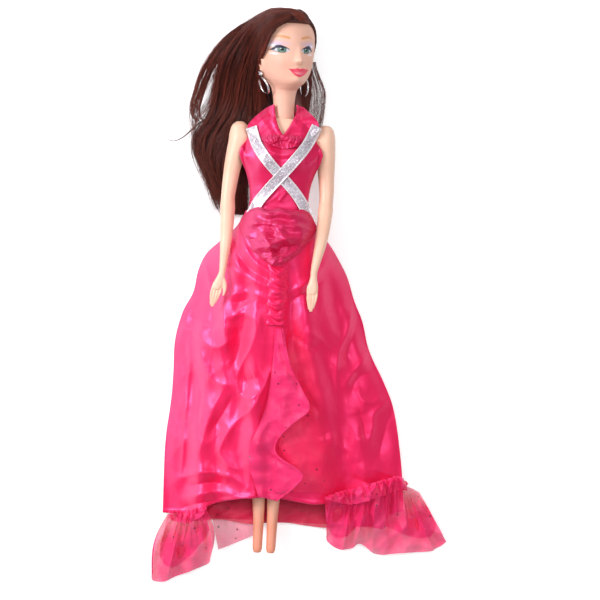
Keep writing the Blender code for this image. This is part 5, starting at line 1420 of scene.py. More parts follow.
def make_ruche(tree):
    """The gathered strip down the middle front."""
    v = np.linspace(0, 1, 180)[:, None]
    u = np.linspace(-1, 1, 54)[None, :]
    v, u = np.broadcast_arrays(v, u)
    height = RUCHE_FOOT + (RUCHE_TOP - RUCHE_FOOT) * v
    x = RUCHE_WIDTH * (0.21 + 0.5 * u * (1 + 0.10 * np.sin(23 * v) + 0.08 * np.sin(41 * v + 2)))
    phase = 12 * math.pi * v + 1.1 * np.cos(2 * u) + 0.8 * np.sin(3 * u + 9 * v)
    gather = 0.5 + 0.5 * np.cos(phase)
    fine = 0.5 + 0.5 * np.cos(2.3 * phase + 2 * u)
    lift = 0.00005 + RUCHE_RISE * (0.60 * gather + 0.28 * fine) * (1 - u * u) ** 0.8
    z = lie_on(tree, x, height, 0.0) + lift
    ruche = sheet("centre_ruche_satin", np.stack([x, height, z], -1), SATIN, RUNNING_GAP)
    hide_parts("centre_ruche")
    return ruche


# flounce: share of its length from the foot, seam's place, free edge's place, lift
FLOUNCE_SHARES = [
    (0.00, -0.30, 0.55, 0.30), (0.10, -0.62, 1.60, 0.90), (0.18, -0.86, 2.00, 1.00),
    (0.28, -0.90, 0.60, 0.35), (0.36, -0.70, 0.55, 0.30), (0.46, -0.35, 1.30, 0.75),
    (0.55, -0.10, 2.20, 1.00), (0.66, 0.02, 1.75, 0.90), (0.80, 0.12, 1.05, 0.55),
    (1.00, 0.20, 0.55, 0.20),
]


def make_flounce(tree):
    """The scalloped net frill that falls from the gathered strip to the hem."""
    t = np.linspace(0, 1, 230)[:, None]
    u = np.linspace(0, 1, 64)[None, :]
    t, u = np.broadcast_arrays(t, u)
    seam, free, lift = smooth(FLOUNCE_SHARES, t)
    height = FLOUNCE_FOOT + (RUCHE_FOOT - CLOTH * 2 - FLOUNCE_FOOT) * t
    height = height - RUCHE_WIDTH * 0.30 * u * u * (1 - t)
    x = RUCHE_WIDTH * (seam + (free - seam) * u)
    gather = np.sin(48 * t + 5 * np.sin(5 * t)) * (1 - u) ** 1.2
    wave = 0.5 + 0.5 * np.sin(9 * u + 21 * t)
    rise = RUNNING_GAP + CLOTH * 2.2 * ramp(u, 0.0, 0.3) + 0.0006 * (1 + gather)
    rise = rise + RUCHE_RISE * (1.5 * lift * u**1.5 + 0.8 * wave * u)
    rise = rise + 0.0006 * (1 + crumple(x, height, 0.008, SEED + 3)) * ramp(u, 0, 0.4)
    z = soften(lie_on(tree, x, height, 0.0), 3) + rise
    points = np.stack([x, height, z], -1)
    flounce = sheet("centre_flounce_net", points, NET_PINK)
    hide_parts("centre_flounce")
    band = edge_band("centre_flounce_edge", points[:, -4:][:, ::-1], 0.00045, NET_PINK)
    return flounce, band


def set_sheer(item, values):
    """Extra transparency of a net, by point."""
    kept = item.data.attributes.new("sheer", "FLOAT", "POINT")
    kept.data.foreach_set("value", np.asarray(values, np.float32).ravel().copy())


def edge_band(name, strip, radius, finish):
    """A narrow rolled edge along the last column of points of a net piece."""
    line = strip[:, 0]
    forward = np.gradient(line, axis=0)
    forward /= np.linalg.norm(forward, axis=1)[:, None]
    side = np.cross(forward, (0, 0, 1))
    side /= np.linalg.norm(side, axis=1)[:, None]
    rise = np.cross(side, forward)
    angle = TURN * np.arange(8) / 8
    rings = (line[:, None, :] + radius * (np.cos(angle)[None, :, None] * side[:, None, :]
                                          + np.sin(angle)[None, :, None] * rise[:, None, :]))
    band = capped(name, rings, finish)
    return band


def make_overlay(tree):
    """The dark net laid over the left front, beside the flounce."""
    low = SKIRT_HEM_HEIGHT * 1.9
    high = HIP_HEIGHT * 0.80
    v = np.linspace(0, 1, 150)[:, None]
    u = np.linspace(0, 1, 70)[None, :]
    v, u = np.broadcast_arrays(v, u)
    height = low + (high - low) * v
    inner = RUCHE_WIDTH * (0.95 - 0.35 * (1 - v))
    outer = RUCHE_WIDTH * (1.5 + 2.7 * (1 - v) ** 0.7)
    outer = outer + 0.0016 * np.sin(9 * v) * (1 - v)
    x = inner + (outer - inner) * u
    rise = 0.0005 + 0.0005 * (1 + crumple(x, height, 0.011, SEED + 4))
    z = soften(lie_on(tree, x, height, 0.0), 6) + rise
    overlay = sheet("net_overlay_dark", np.stack([x, height, z], -1), NET_DARK)
    set_sheer(overlay, np.clip(0.85 * ramp(u, 0.45, 1.0) + 0.7 * ramp(v, 0.75, 1.0), 0, 0.92))
    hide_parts("net_overlay")
    return overlay


def along_path(points, u):
    """Points at shares u along a smooth line through the given points."""
    rows = np.column_stack([np.linspace(0, 1, len(points)), np.array(points, float)])
    return np.stack(smooth(rows, u), -1)


def ruffle_points(seam, free, columns, rows, waves, rise, seed, curl=0.0, bulge=0.0):
    """A gathered net strip: tight folds at the seam that open into broad ones below."""
    chance = np.random.RandomState(seed)
    u = np.linspace(0, 1, columns)[None, :]
    v = np.linspace(1, 0, rows)[:, None]
    u, v = np.broadcast_arrays(u, v)
    warp = u + 0.030 * np.sin(TURN * (2.2 * u + chance.rand())) + 0.016 * np.sin(
        TURN * (5.1 * u + chance.rand()) + 3 * v)
    points = along_path(free, u) * (1 - v)[..., None] + along_path(seam, u) * v[..., None]
    broad = np.sin(waves * TURN * warp)
    tight = np.sin(waves * 2.3 * TURN * warp + 1.1 * np.sin(3 * v))
    body = broad * ramp(v, 1.0, 0.45) + tight * ramp(v, 0.25, 0.95)
    lumps = 1 + 0.45 * np.sin(TURN * (1.7 * u + chance.rand())) * np.sin(3 + 5 * v)
    points[..., 2] += rise * lumps * (0.55 + 0.5 * body) * np.sin(math.pi * (0.14 + 0.72 * v))
    swing = np.cos(waves * TURN * warp) * (1 - v) + 0.6 * np.cos(waves * 2.3 * TURN * warp) * v
    points[..., 0] += curl * swing * np.sin(math.pi * np.clip(v, 0.1, 0.9))
    points[..., 0] += bulge * (ramp(u, 0.5, 1.0) - ramp(u, 0.5, 0.0)) * np.sin(math.pi * v)
    points[..., 2] += 0.30 * rise * (1 + crumple(points[..., 0], points[..., 1], 0.009, seed))
    return points


def view_path(places, z):
    """Doll points at one height above the table, from places in the view."""
    return [(*map(float, from_view(*place)), z) for place in places]


def free_edge(points, most):
    """More see-through towards the free edge, the first row."""
    rows = np.linspace(1, 0, points.shape[0])[:, None]
    return most * ramp(rows, 0.35, 1.0) + 0 * points[..., 0]


def under_ruffle(name, seam, free, waves, seed):
    """A second, shorter layer of net below a ruffle."""
    seam = np.array([tuple(map(float, place)) for place in seam])
    free = along_path(free, np.linspace(0, 1, len(seam)))
    uneven = 0.66 + 0.16 * np.sin(5.1 * np.arange(len(seam)) + seed)
    short = seam + (free - seam) * uneven[:, None]
    short[:, 2] = free[:, 2]
    seam[:, 2] -= 0.0004
    points = ruffle_points(seam, short, 260, 36, waves * 1.3, RUCHE_RISE * 1.0, seed, 0.0008)
    points[..., 2] = np.maximum(points[..., 2] - 0.0006, 0.0005)
    layer = sheet(name, points, NET_DARK)
    set_sheer(layer, free_edge(points, 0.55))
    return layer


def make_hem_ruffles(tree):
    hem = SKIRT_HEM_HEIGHT
    floor = CLOTH + TULLE
    left = SKIRT_LEFT_WIDTH
    made = []
    xs = left * np.array((0.43, 0.52, 0.62, 0.71, 0.80, 0.88, 0.95, 1.02, 1.10))
    ys = hem * np.array((1.75, 1.78, 1.80, 1.92, 2.05, 2.16, 2.25, 2.15, 2.00))
    zs = np.where(xs < left * 0.98, lie_on(tree, xs, ys, CLOTH), floor)
    seam = list(zip(xs, ys, zs))
    free = view_path([(326, 533), (329, 546), (338, 553), (350, 553), (362, 548), (372, 556),
                      (384, 559), (404, 557), (428, 556), (440, 552), (448, 546)], floor)
    points = ruffle_points(seam, free, 460, 46, 6, RUCHE_RISE * 2.2, SEED + 10, 0.0018)
    main = sheet("hem_ruffle_left_net", points, NET_PINK)
    set_sheer(main, free_edge(points, 0.34))
    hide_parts("hem_ruffle_left")
    made.append(main)
    made.append(under_ruffle("hem_ruffle_left_under", seam, free, 7, SEED + 15))
    fullness = (0.15, 0.62, 0.95, 1.0, 1.0, 1.0, 0.85, 0.45)
    top = [(x, y + 0.0046 * share, z + 0.0012) for (x, y, z), share in zip(seam, fullness)]
    low = [(x, y - 0.0044 * share, z + 0.0012) for (x, y, z), share in zip(seam, fullness)]
    frill = ruffle_points(top, low, 420, 26, 7, RUCHE_RISE * 1.9, SEED + 11, 0.0024)
    made.append(sheet("hem_frill_left_net", frill, NET_PINK))
    right = SKIRT_RIGHT_WIDTH
    shares = np.array((-0.98, -0.90, -0.82, -0.74, -0.66, -0.58))
    heights = hem_height(shares) - 2 * RUNNING_GAP
    seam = [(share * right, y, float(lie_on(tree, share * right, y + 0.0012, 0.0003)))
            for share, y in zip(shares, heights)]
    free = view_path([(150, 576), (151, 585), (162, 586), (176, 580), (190, 575), (206, 568),
                      (211, 556)], floor)
    points = ruffle_points(seam, free, 300, 50, 3.5, RUCHE_RISE * 1.9, SEED + 12, 0.0012,
                           bulge=0.0034)
    main = sheet("hem_ruffle_right_net", points, NET_PINK)
    set_sheer(main, free_edge(points, 0.25))
    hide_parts("hem_ruffle_right")
    made.append(main)
    made.append(under_ruffle("hem_ruffle_right_under", seam, free, 3.5, SEED + 16))
    fullness = (0.45, 0.90, 1.0, 1.0, 0.85, 0.35)
    top = [(x, y + 0.0032 * share, z + 0.0010) for (x, y, z), share in zip(seam, fullness)]
    low = [(x, y - 0.0038 * share, z + 0.0010) for (x, y, z), share in zip(seam, fullness)]
    frill = ruffle_points(top, low, 200, 24, 3.5, RUCHE_RISE * 1.7, SEED + 13, 0.0020)
    made.append(sheet("hem_frill_right_net", frill, NET_PINK))
    hem_edge = BACK_HEM_HEIGHT - RUNNING_GAP
    seam = [(-right * 0.52, hem_edge, CLOTH), (-right * 0.28, hem_edge, CLOTH),
            (-right * 0.05, hem_edge, CLOTH)]
    free = view_path([(217, 554), (240, 545), (258, 537)], CLOTH)
    points = ruffle_points(seam, free, 130, 40, 1.5, RUCHE_RISE * 0.6, SEED + 14)
    middle = sheet("hem_net_middle_sheer", points, NET_SHEER)
    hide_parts("hem_net_middle")
    made.append(middle)
    return made


BODICE_FOLDS = [
    (2.4, 0.75, [(268, 150), (276, 155), (288, 156), (301, 151)]),
    (2.2, -0.6, [(272, 160), (284, 162), (300, 158)]),
    (2.6, 0.8, [(324, 147), (315, 157), (306, 165)]),
    (2.2, -0.6, [(322, 158), (311, 166)]),
    (3.0, 0.9, [(240, 136), (242, 147), (247, 160)]),
    (2.0, -0.6, [(245, 140), (248, 152)]),
    (2.0, 0.6, [(279, 202), (286, 192)]),
    (2.4, 0.6, [(254, 214), (272, 210), (300, 213)]),
    (2.4, 0.5, [(262, 206), (276, 198), (281, 190)]),
    (2.6, 0.5, [(312, 176), (311, 192), (308, 208)]),
    (2.2, 0.45, [(249, 178), (251, 192), (257, 206)]),
]


def armhole_flare(points, width):
    """The loose satin at the armholes stands out sideways and over the arm's edge."""
    side = np.abs(points[..., 0]) / width
    share = hill(points[..., 1], SHOULDER_HEIGHT - 0.0075, 0.0075) * ramp(side, 0.70, 1.0)
    points[..., 0] += np.sign(points[..., 0]) * 0.0042 * share
    front = points[..., 2] > BODY_RISE - 0.001
    raised = BODY_RISE + 0.0062 * np.sqrt(share)
    points[..., 2] = np.where(front, np.maximum(points[..., 2], raised), points[..., 2])
    return points


def make_bodice():
    v = np.linspace(0, 1, 112)[:, None]
    c = np.linspace(0, 1, 148)[None, :]
    first = math.radians(2) + math.radians(20) * ramp(v, 0.70, 1.0)
    angle = math.pi - first - (math.pi - 2 * first) * c
    side = np.minimum(np.abs(np.cos(angle)) / math.cos(math.radians(35)), 1.0)
    top = NECKLINE_HEIGHT + SHOULDER_RADIUS * side**1.5
    height = BODICE_FOOT + (top - BODICE_FOOT) * v
    points = torso_points(angle, height, BODICE_INNER)
    points = armhole_flare(points, torso_size(height)[0] + BODICE_INNER)
    c, v = np.broadcast_arrays(c, v)
    hold = ramp(c, 0, 0.04) * ramp(c, 1, 0.96)
    folds = folds_at(points[..., 0], points[..., 1], BODICE_FOLDS)
    fine = 0.00012 * (1 + crumple(points[..., 0], points[..., 1], 0.007, SEED + 5))
    points[..., 2] += (np.maximum(folds + 0.00025, 0) + fine) * hold
    front = sheet("bodice_front_satin", points, SATIN_BODICE_PAINTED_SHADE, SATIN_THICKNESS)
    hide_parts("bodice_front")
    made = [front]
    for side, name in ((1, "left"), (-1, "right")):
        height = np.linspace(BODICE_FOOT, BODICE_SIDE_HEIGHT, 80)[:, None]
        near = np.linspace(math.radians(3), math.radians(87), 70)[None, :]
        angle = -near if side > 0 else math.pi + near
        points = torso_points(angle, height, BODICE_INNER)
        wrinkle = 0.0002 * (1 + crumple(points[..., 0] * 0.6, height * 1.5 + 0 * near, 0.008,
                                        SEED + 6 + side))
        points[..., 2] -= wrinkle * ramp(near, 0.1, 0.5)
        data = grid_mesh(f"bodice_back_{name}_satin", points, uv=cloth_uv(points))
        back = new_object(data.name, data, SATIN_BODICE_PAINTED_SHADE)
        solid = back.modifiers.new("thickness", "SOLIDIFY")
        solid.thickness = SATIN_THICKNESS
        solid.offset = -1.0 if side < 0 else 1.0
        bake(back)
        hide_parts(f"bodice_back_{name}")
        made.append(back)
    height = np.linspace(BODICE_FOOT + CLOTH, BODICE_SIDE_HEIGHT - CLOTH, 60)[:, None]
    x = np.linspace(-TAPE_WIDTH / 2, TAPE_WIDTH / 2, 16)[None, :]
    _, _, back = torso_size(height)
    z = BODY_RISE - back - BODICE_OUTER - CLOTH + 0 * x
    x, height = np.broadcast_arrays(x, height)
    strip = sheet("back_closure_woven", np.stack([x, height, z], -1), TAPE, TULLE)
    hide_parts("back_closure_tape")
    return made, strip


# the lapels in the view: turned inner edge, then outer edge, from the neck's side downwards
LAPELS = {
    "right": ([(274, 105), (275, 114), (278, 127), (284, 139)],
              [(268, 107), (259, 114), (248, 126), (253, 135), (269, 145)]),
    "left": ([(297, 105), (296, 114), (290, 127), (282, 139)],
             [(303, 107), (311, 115), (319, 126), (313, 136), (297, 145)]),
}


def make_collar(bodice):
    """The halter's two turned-down lapels, the strap behind the neck and the pleats."""
    made = []
    for side, name in ((1, "left"), (-1, "right")):
        inner, outer = LAPELS[name]
        t = np.linspace(1, 0, 100)
        start = along_path([from_view(*place) for place in inner], t)[:, None, :]
        end = along_path([from_view(*place) for place in outer], t)[:, None, :]
        u = (np.linspace(0, 1, 64) if side > 0 else np.linspace(1, 0, 64))[None, :, None]
        x, height = np.moveaxis(start + (end - start) * u, -1, 0)
        u, t = np.broadcast_arrays(u[..., 0], t[:, None])
        high = NECKLINE_HEIGHT + 0.004
        over_bodice = ramp(height, high, high - 0.005)
        points = over_torso(x, height, CLOTH + BODICE_OUTER * over_bodice)
        rest = ramp(np.abs(x), 0.0085, 0.0125) * ramp(height, NECK_BASE_HEIGHT + 0.001,
                                                      SHOULDER_HEIGHT + 0.006)
        points[..., 2] = np.maximum(points[..., 2], BODY_RISE + 0.0066 * rest)
        roll_down = ramp(height, NECK_BASE_HEIGHT + 0.0070, NECK_BASE_HEIGHT - 0.0020)
        points[..., 2] = np.maximum(points[..., 2], BODY_RISE + 0.0062 * roll_down)
        for _ in range(6):
            points[..., 2] = soften(points[..., 2], 1)
        roll = 0.0007 * hill(u, 0.07, 0.09) + 0.0005 * np.sin(math.pi * np.clip(u, 0, 1))
        points[..., 2] += roll + 0.0005 * (1 + crumple(x, height, 0.007, SEED + 7 + side))
        lapel = sheet(f"collar_{name}_satin", points, SATIN_BODICE_PAINTED_SHADE, SATIN_THICKNESS)
        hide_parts(f"collar_{name}")
        made.append(lapel)
    radius = HEAD_HALF_WIDTH * 0.40 + NECK_FOOT_GAP
    height = (NECK_BASE_HEIGHT + NECK_FOOT_GAP * 2 + TAPE_WIDTH * 0.5
              * np.linspace(0, 1, 14))[:, None]
    angle = np.radians(np.linspace(188, 352, 70))[None, :]
    reach = radius + 0.0002 * np.sin(TURN * np.linspace(0, 1, 14))[:, None]
    points = np.stack(np.broadcast_arrays(reach * np.cos(angle), height, BODY_RISE + NECK_FOOT_GAP
                                          + reach * np.sin(angle)), -1)
    data = grid_mesh("halter_strap_satin", points, uv=cloth_uv(points))
    strap = new_object(data.name, data, SATIN_BODICE_PAINTED_SHADE)
    solid = strap.modifiers.new("thickness", "SOLIDIFY")
    solid.thickness = SATIN_THICKNESS
    solid.offset = 1.0
    bake(strap)
    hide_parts("halter_strap")
    made.append(strap)
    v = np.linspace(0, 1, 50)[:, None]
    c = np.linspace(-1, 1, 150)[None, :]
    v, c = np.broadcast_arrays(v, c)
    middle_x, foot = from_view(284.0, 148.5)
    _, head_line = from_view(284.0, 136.5)
    height = foot + (head_line - foot) * v - 0.0008 * np.cos(math.pi * c) * (1 - v)
    x = middle_x + 0.0088 * c * (1 + 0.08 * np.sin(7 * v + 2 * c))
    lapel_tree = tree_of([bodice] + made[:2])
    under = lie_on(lapel_tree, x, height, RUNNING_GAP)
    for _ in range(3):
        under = soften(under, 2)
    points = np.stack([x, height, under], -1)
    knots = 0.25 + 0.75 * hill(np.abs(c), 0.48, 0.26)
    twist = 5.5 * math.pi * c + 2.6 * np.sin(4.5 * v + 3 * c)
    pleat = (0.5 + 0.5 * np.cos(twist)) * 0.6 + 0.4 * (0.5 + 0.5 * np.cos(1.9 * twist + 5 * v))
    points[..., 2] += RUCHE_RISE * (0.10 + 0.8 * pleat * knots) * np.sin(
        math.pi * (0.08 + 0.84 * v)) ** 0.7
    gather = sheet("neckline_gather_satin", points, SATIN_GATHERED_PAINTED_SHADE, RUNNING_GAP)
    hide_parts("neckline_gather")
    made.append(gather)
    return made


# the ribbons' middle lines in the view, from the shoulder to the waist
RIBBON_LINES = {
    "ribbon_under": [(251.5, 127.5), (257, 145), (267, 161), (281, 177), (295, 193), (305, 209),
                     (311, 225)],
    "ribbon_over": [(317, 127), (306.5, 147), (294, 163), (281, 177), (267, 192), (258, 203),
                    (251, 216)],
}


def make_ribbons(tree):
    """Two glitter ribbons with corded edges, crossed over the chest."""
    made = []
    for name, lift in (("ribbon_under", 0.0003), ("ribbon_over", 0.0009)):
        t = np.linspace(0, 1, 150)
        line = along_path([from_view(*place) for place in RIBBON_LINES[name]], t)
        ahead = np.gradient(line, axis=0)
        ahead /= np.linalg.norm(ahead, axis=1)[:, None]
        out = np.stack([-ahead[:, 1], ahead[:, 0]], -1)
        c = np.linspace(0.5, -0.5, 26)
        place = line[:, None, :] + RIBBON_WIDTH * c[None, :, None] * out[:, None, :]
        x, height = place[..., 0], place[..., 1]
        z = np.maximum(lie_on(tree, x, height, 0.0), BODY_RISE + 0.0040)
        for _ in range(5):
            z = soften(z, 2)
        z += lift + 0.00030 * ramp(np.abs(c), 0.36, 0.44)[None, :]
        points = np.stack([x, height, z], -1)
        ribbon = sheet(f"{name}_glitter", points, GLITTER, 0.0003)
        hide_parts(name)
        made.append(ribbon)
    return made


# Hair

HAIR_STRAND_RADIUS = 0.0005
# the loose curl in the view, from the sweep outwards
CURL_LINE = [(205, 117), (197, 121), (190, 127), (183, 133), (176, 137), (170, 138), (165, 136)]


def hairline(angle):
    """Lowest share of the head's height that hair covers, by angle round the head."""
    face = np.clip(np.sin(angle), 0, 1)
    sides = 0.60 + 0.31 * ramp(face, 0.05, 0.80)
    nape = 0.32 + 0.28 * ramp(np.sin(angle), -0.66, -0.36)
    return np.where(np.sin(angle) > 0, sides, nape)


def cap_lift(angle, level):
    """Thickness of the combed hair: thin at the hairline and on the doll's left."""
    thin = 1 - 0.80 * ramp(np.cos(angle + 0.35), -0.1, 0.7)
    swell = 0.24 + 0.76 * (0.12 + 0.88 * ramp(level, 0.0, 0.40)) * thin
    return HAIR_ROOT_GAP * (0.3 + 0.7 * thin) + HAIR_CAP_THICKNESS * 0.82 * swell * (
        0.35 + 0.65 * thin)


def make_hair_cap():
    """Combed hair that lies close over the skull, from the hairline to the crown."""
    angle = TURN * np.arange(240)[None, :] / 240
    level = np.linspace(0, 1, 60)[:, None]
    low = hairline(angle)
    share = low + (0.985 - low) * level**0.8
    comb = (0.55 * np.sin(31 * angle + 5 * level) + 0.45 * np.sin(53 * angle - 7 * level + 1)
            + 0.35 * np.sin(17 * angle + 3 * level))
    groove = 0.00030 * comb * ramp(level, 0.02, 0.2)
    angle, level = np.broadcast_arrays(angle, level)
    bare = head_points(angle, share, 0.0)
    lifted = head_points(angle, share, 0.001)
    outer = bare + (lifted - bare) * (cap_lift(angle, level) / 0.001)[..., None]
    spread = outer.copy()
    spread[..., 1] = 0
    length = np.linalg.norm(spread, axis=-1, keepdims=True)
    outer = outer + spread / np.maximum(length, 1e-6) * groove[..., None]
    inner = head_points(angle, share, 0.00012)
    tops = []
    for shrink, rise in ((0.66, 0.0007), (0.33, 0.0011), (0.04, 0.0012)):
        ring = outer[-1].copy()
        ring[:, (0, 2)] *= shrink
        ring[:, 1] = ring[:, 1].mean() + rise
        tops.append(ring)
    unders = []
    for shrink in (0.04, 0.5):
        ring = inner[-1].copy()
        ring[:, (0, 2)] *= shrink
        unders.append(ring)
    rings = np.concatenate([np.array(unders), inner[::-1], outer, np.array(tops)])
    cap = capped("hair_cap_combed", out_of_head(rings), HAIR)
    tone = cap.data.attributes.new("tone", "FLOAT", "POINT")
    flat = np.full(len(cap.data.vertices), 0.12)
    tone.data.foreach_set("value", flat.astype(np.float32))
    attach(cap, "head")
    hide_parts("hair_cap")
    return cap


def strand_tree():
    """Geometry Nodes: every chain of edges becomes a thin fibre with a few sides."""
    tree = bpy.data.node_groups.new("fibres_along_lines", "GeometryNodeTree")
    tree.interface.new_socket("Geometry", in_out="INPUT", socket_type="NodeSocketGeometry")
    sides = tree.interface.new_socket("Sides", in_out="INPUT", socket_type="NodeSocketInt")
    sides.default_value = 3
    frizz = tree.interface.new_socket("Frizz", in_out="INPUT", socket_type="NodeSocketFloat")
    frizz.default_value = 0.0002
    finish = tree.interface.new_socket("Finish", in_out="INPUT", socket_type="NodeSocketMaterial")
    finish.default_value = HAIR
    tree.interface.new_socket("Geometry", in_out="OUTPUT", socket_type="NodeSocketGeometry")
    wiring = Wiring(tree)
    given = wiring.node("NodeGroupInput")
    result = wiring.node("NodeGroupOutput")
    curve = wiring.node("GeometryNodeMeshToCurve")
    wiring.link(given.outputs["Geometry"], curve.inputs["Mesh"])
    place = wiring.node("GeometryNodeInputPosition")
    rough = wiring.node("ShaderNodeTexNoise")
    wiring.link(place.outputs[0], rough.inputs["Vector"])
    rough.inputs["Scale"].default_value = 420.0
    rough.inputs["Detail"].default_value = 1.0
    centred = wiring.node("ShaderNodeVectorMath", operation="SUBTRACT")
    wiring.link(rough.outputs["Color"], centred.inputs[0])
    centred.inputs[1].default_value = (0.5, 0.5, 0.5)
    sized = wiring.node("ShaderNodeVectorMath", operation="SCALE")
    wiring.link(centred.outputs[0], sized.inputs[0])
    wiring.link(given.outputs["Frizz"], sized.inputs["Scale"])
    moved = wiring.node("GeometryNodeSetPosition")
    wiring.link(curve.outputs["Curve"], moved.inputs["Geometry"])
    wiring.link(sized.outputs[0], moved.inputs["Offset"])
    thick = wiring.node("GeometryNodeInputNamedAttribute", data_type="FLOAT")
    thick.inputs["Name"].default_value = "thickness"
    radius = wiring.node("GeometryNodeSetCurveRadius")
    wiring.link(moved.outputs[0], radius.inputs["Curve"])
    wiring.link(thick.outputs["Attribute"], radius.inputs["Radius"])
    ring = wiring.node("GeometryNodeCurvePrimitiveCircle")
    wiring.link(given.outputs["Sides"], ring.inputs["Resolution"])
    ring.inputs["Radius"].default_value = 1.0
    tube = wiring.node("GeometryNodeCurveToMesh")
    wiring.link(radius.outputs["Curve"], tube.inputs["Curve"])
    wiring.link(ring.outputs["Curve"], tube.inputs["Profile Curve"])
    tube.inputs["Fill Caps"].default_value = True
    for socket in tube.inputs:
        if socket.name == "Scale":
            wiring.link(thick.outputs["Attribute"], socket)
    real = wiring.node("GeometryNodeRealizeInstances")
    wiring.link(tube.outputs["Mesh"], real.inputs["Geometry"])
    painted = wiring.node("GeometryNodeSetMaterial")
    wiring.link(real.outputs["Geometry"], painted.inputs["Geometry"])
    wiring.link(given.outputs["Finish"], painted.inputs["Material"])
    wiring.link(painted.outputs["Geometry"], result.inputs["Geometry"])
    return tree


FIBRES = strand_tree()


def fibres(name, lines, thickness, tone, sides=3, frizz=0.0002):
    """One object of thin tubes; lines holds strands by points by coordinates."""
    lines = np.asarray(lines, float)
    count, steps = lines.shape[:2]
    index = np.arange(count * steps).reshape(count, steps)
    edges = np.stack([index[:, :-1], index[:, 1:]], -1).reshape(-1, 2)
    data = bpy.data.meshes.new(name)
    placed = lines.reshape(-1, 3) + np.array(DOLL_ORIGIN)
    data.from_pydata(placed.tolist(), edges.tolist(), [])
    for key, values in (("thickness", thickness), ("tone", tone)):
        kept = data.attributes.new(key, "FLOAT", "POINT")
        spread = np.broadcast_to(values, (count, steps)).astype(np.float32)
        kept.data.foreach_set("value", spread.ravel().copy())
    item = new_object(name, data, HAIR)
    grown = item.modifiers.new("fibres", "NODES")
    grown.node_group = FIBRES
    for socket in FIBRES.interface.items_tree:
        if socket.in_out == "INPUT" and socket.name == "Sides":
            grown[socket.identifier] = sides
        if socket.in_out == "INPUT" and socket.name == "Frizz":
            grown[socket.identifier] = frizz
    return bake(item)


def sweep_roof(x, height, share_down=0.0):
    """Top of the swept hair's mass at one place; share_down sinks towards its floor."""
    span = HAIR_SWEEP_TOP_HEIGHT - HAIR_SWEEP_END_HEIGHT
    share = np.clip((height - HAIR_SWEEP_END_HEIGHT) / span, 0, 1)
    outer, inner, floor, roof = smooth(HAIR_SWEEP_SHARES, share)
    middle = -(outer + inner) / 2 * HAIR_SWEEP_WIDTH
    half = (outer - inner) / 2 * HAIR_SWEEP_WIDTH
    across = np.clip(np.abs(x - middle) / half, 0, 0.985)
    low, high = floor * HAIR_SWEEP_DEPTH, roof * HAIR_SWEEP_DEPTH
    arch = (1 - across**2.4) ** (1 / 2.4)
    top = (low + high) / 2 + (high - low) / 2 * arch
    return top - share_down * (high - low) * arch


# guide locks in the view, from the crown's edge down to the ends
OUTER_GUIDES = [
    [(287, 12), (272, 11), (256, 16), (240, 25), (224, 37), (210, 54), (199, 72), (191, 91),
     (188, 106), (191, 115), (199, 121)],
    [(287, 14), (272, 15), (257, 22), (242, 34), (228, 49), (215, 67), (206, 84), (200, 99),
     (198, 109), (200, 116), (206, 121)],
]
SWEEP_GUIDES = [
    [(288, 13), (270, 13), (252, 23), (236, 39), (223, 58), (215, 80), (211, 100), (204, 116),
     (194, 128), (191, 142), (197, 158), (207, 176), (213, 196), (218, 212)],
    [(289, 15), (270, 17), (254, 29), (243, 46), (233, 69), (227, 92), (219, 114), (207, 132),
     (201, 148), (205, 166), (213, 186), (220, 206), (227, 214)],
    [(290, 17), (272, 23), (259, 37), (250, 57), (243, 80), (239, 104), (231, 126), (221, 146),
     (217, 166), (223, 188), (231, 208), (237, 214)],
    [(290, 20), (274, 29), (262, 45), (256, 65), (253, 86), (252, 106), (248, 128), (240, 150),
     (235, 172), (237, 194), (241, 213)],
    [(290, 23), (275, 34), (265, 49), (261, 66), (263, 86), (267, 104), (267, 120), (260, 140),
     (251, 160), (247, 182), (246, 200), (246, 213)],
]
FACE_GUIDES = [
    [(284, 25), (273, 33), (266, 46), (262, 60), (261, 78), (264, 98), (271, 114)],
    [(278, 29), (269, 40), (263, 55), (259, 72), (256, 90), (256, 106), (259, 120)],
]
CROWN_GUIDES = [
    [(300, 23), (292, 18), (283, 16), (271, 18), (258, 26), (247, 38)],
    [(308, 34), (305, 24), (298, 17), (287, 13), (275, 14), (262, 22)],
    [(312, 48), (311, 34), (306, 22), (298, 15), (289, 12), (278, 12)],
]
# the dense inner mass in the view: place down, outer edge, inner edge
MASS_EDGES = [
    (30, 249, 262), (45, 232, 262), (60, 222, 264), (75, 217, 267), (90, 216, 273),
    (105, 213, 277), (118, 208, 277), (130, 200, 268), (142, 198, 256), (155, 202, 251),
    (170, 210, 248), (185, 216, 246), (198, 220, 246), (207, 224, 246), (213, 232, 243),
]


def between_guides(guides, place, steps):
    """Centre lines in the view at places 0 to 1 across a fan of guides."""
    spots = []
    for guide in guides:
        points = np.array(curved(guide, 8))
        gone = np.concatenate([[0], np.cumsum(np.linalg.norm(np.diff(points, axis=0), axis=1))])
        at = np.linspace(0, gone[-1], steps)
        spots.append(np.column_stack([np.interp(at, gone, points[:, 0]),
                                      np.interp(at, gone, points[:, 1])]))
    rows = np.concatenate([np.linspace(0, 1, len(guides))[:, None],
                           np.array(spots).reshape(len(guides), -1)], axis=1)
    found = np.stack(smooth(rows, place), -1)
    return found.reshape(len(place), steps, 2)


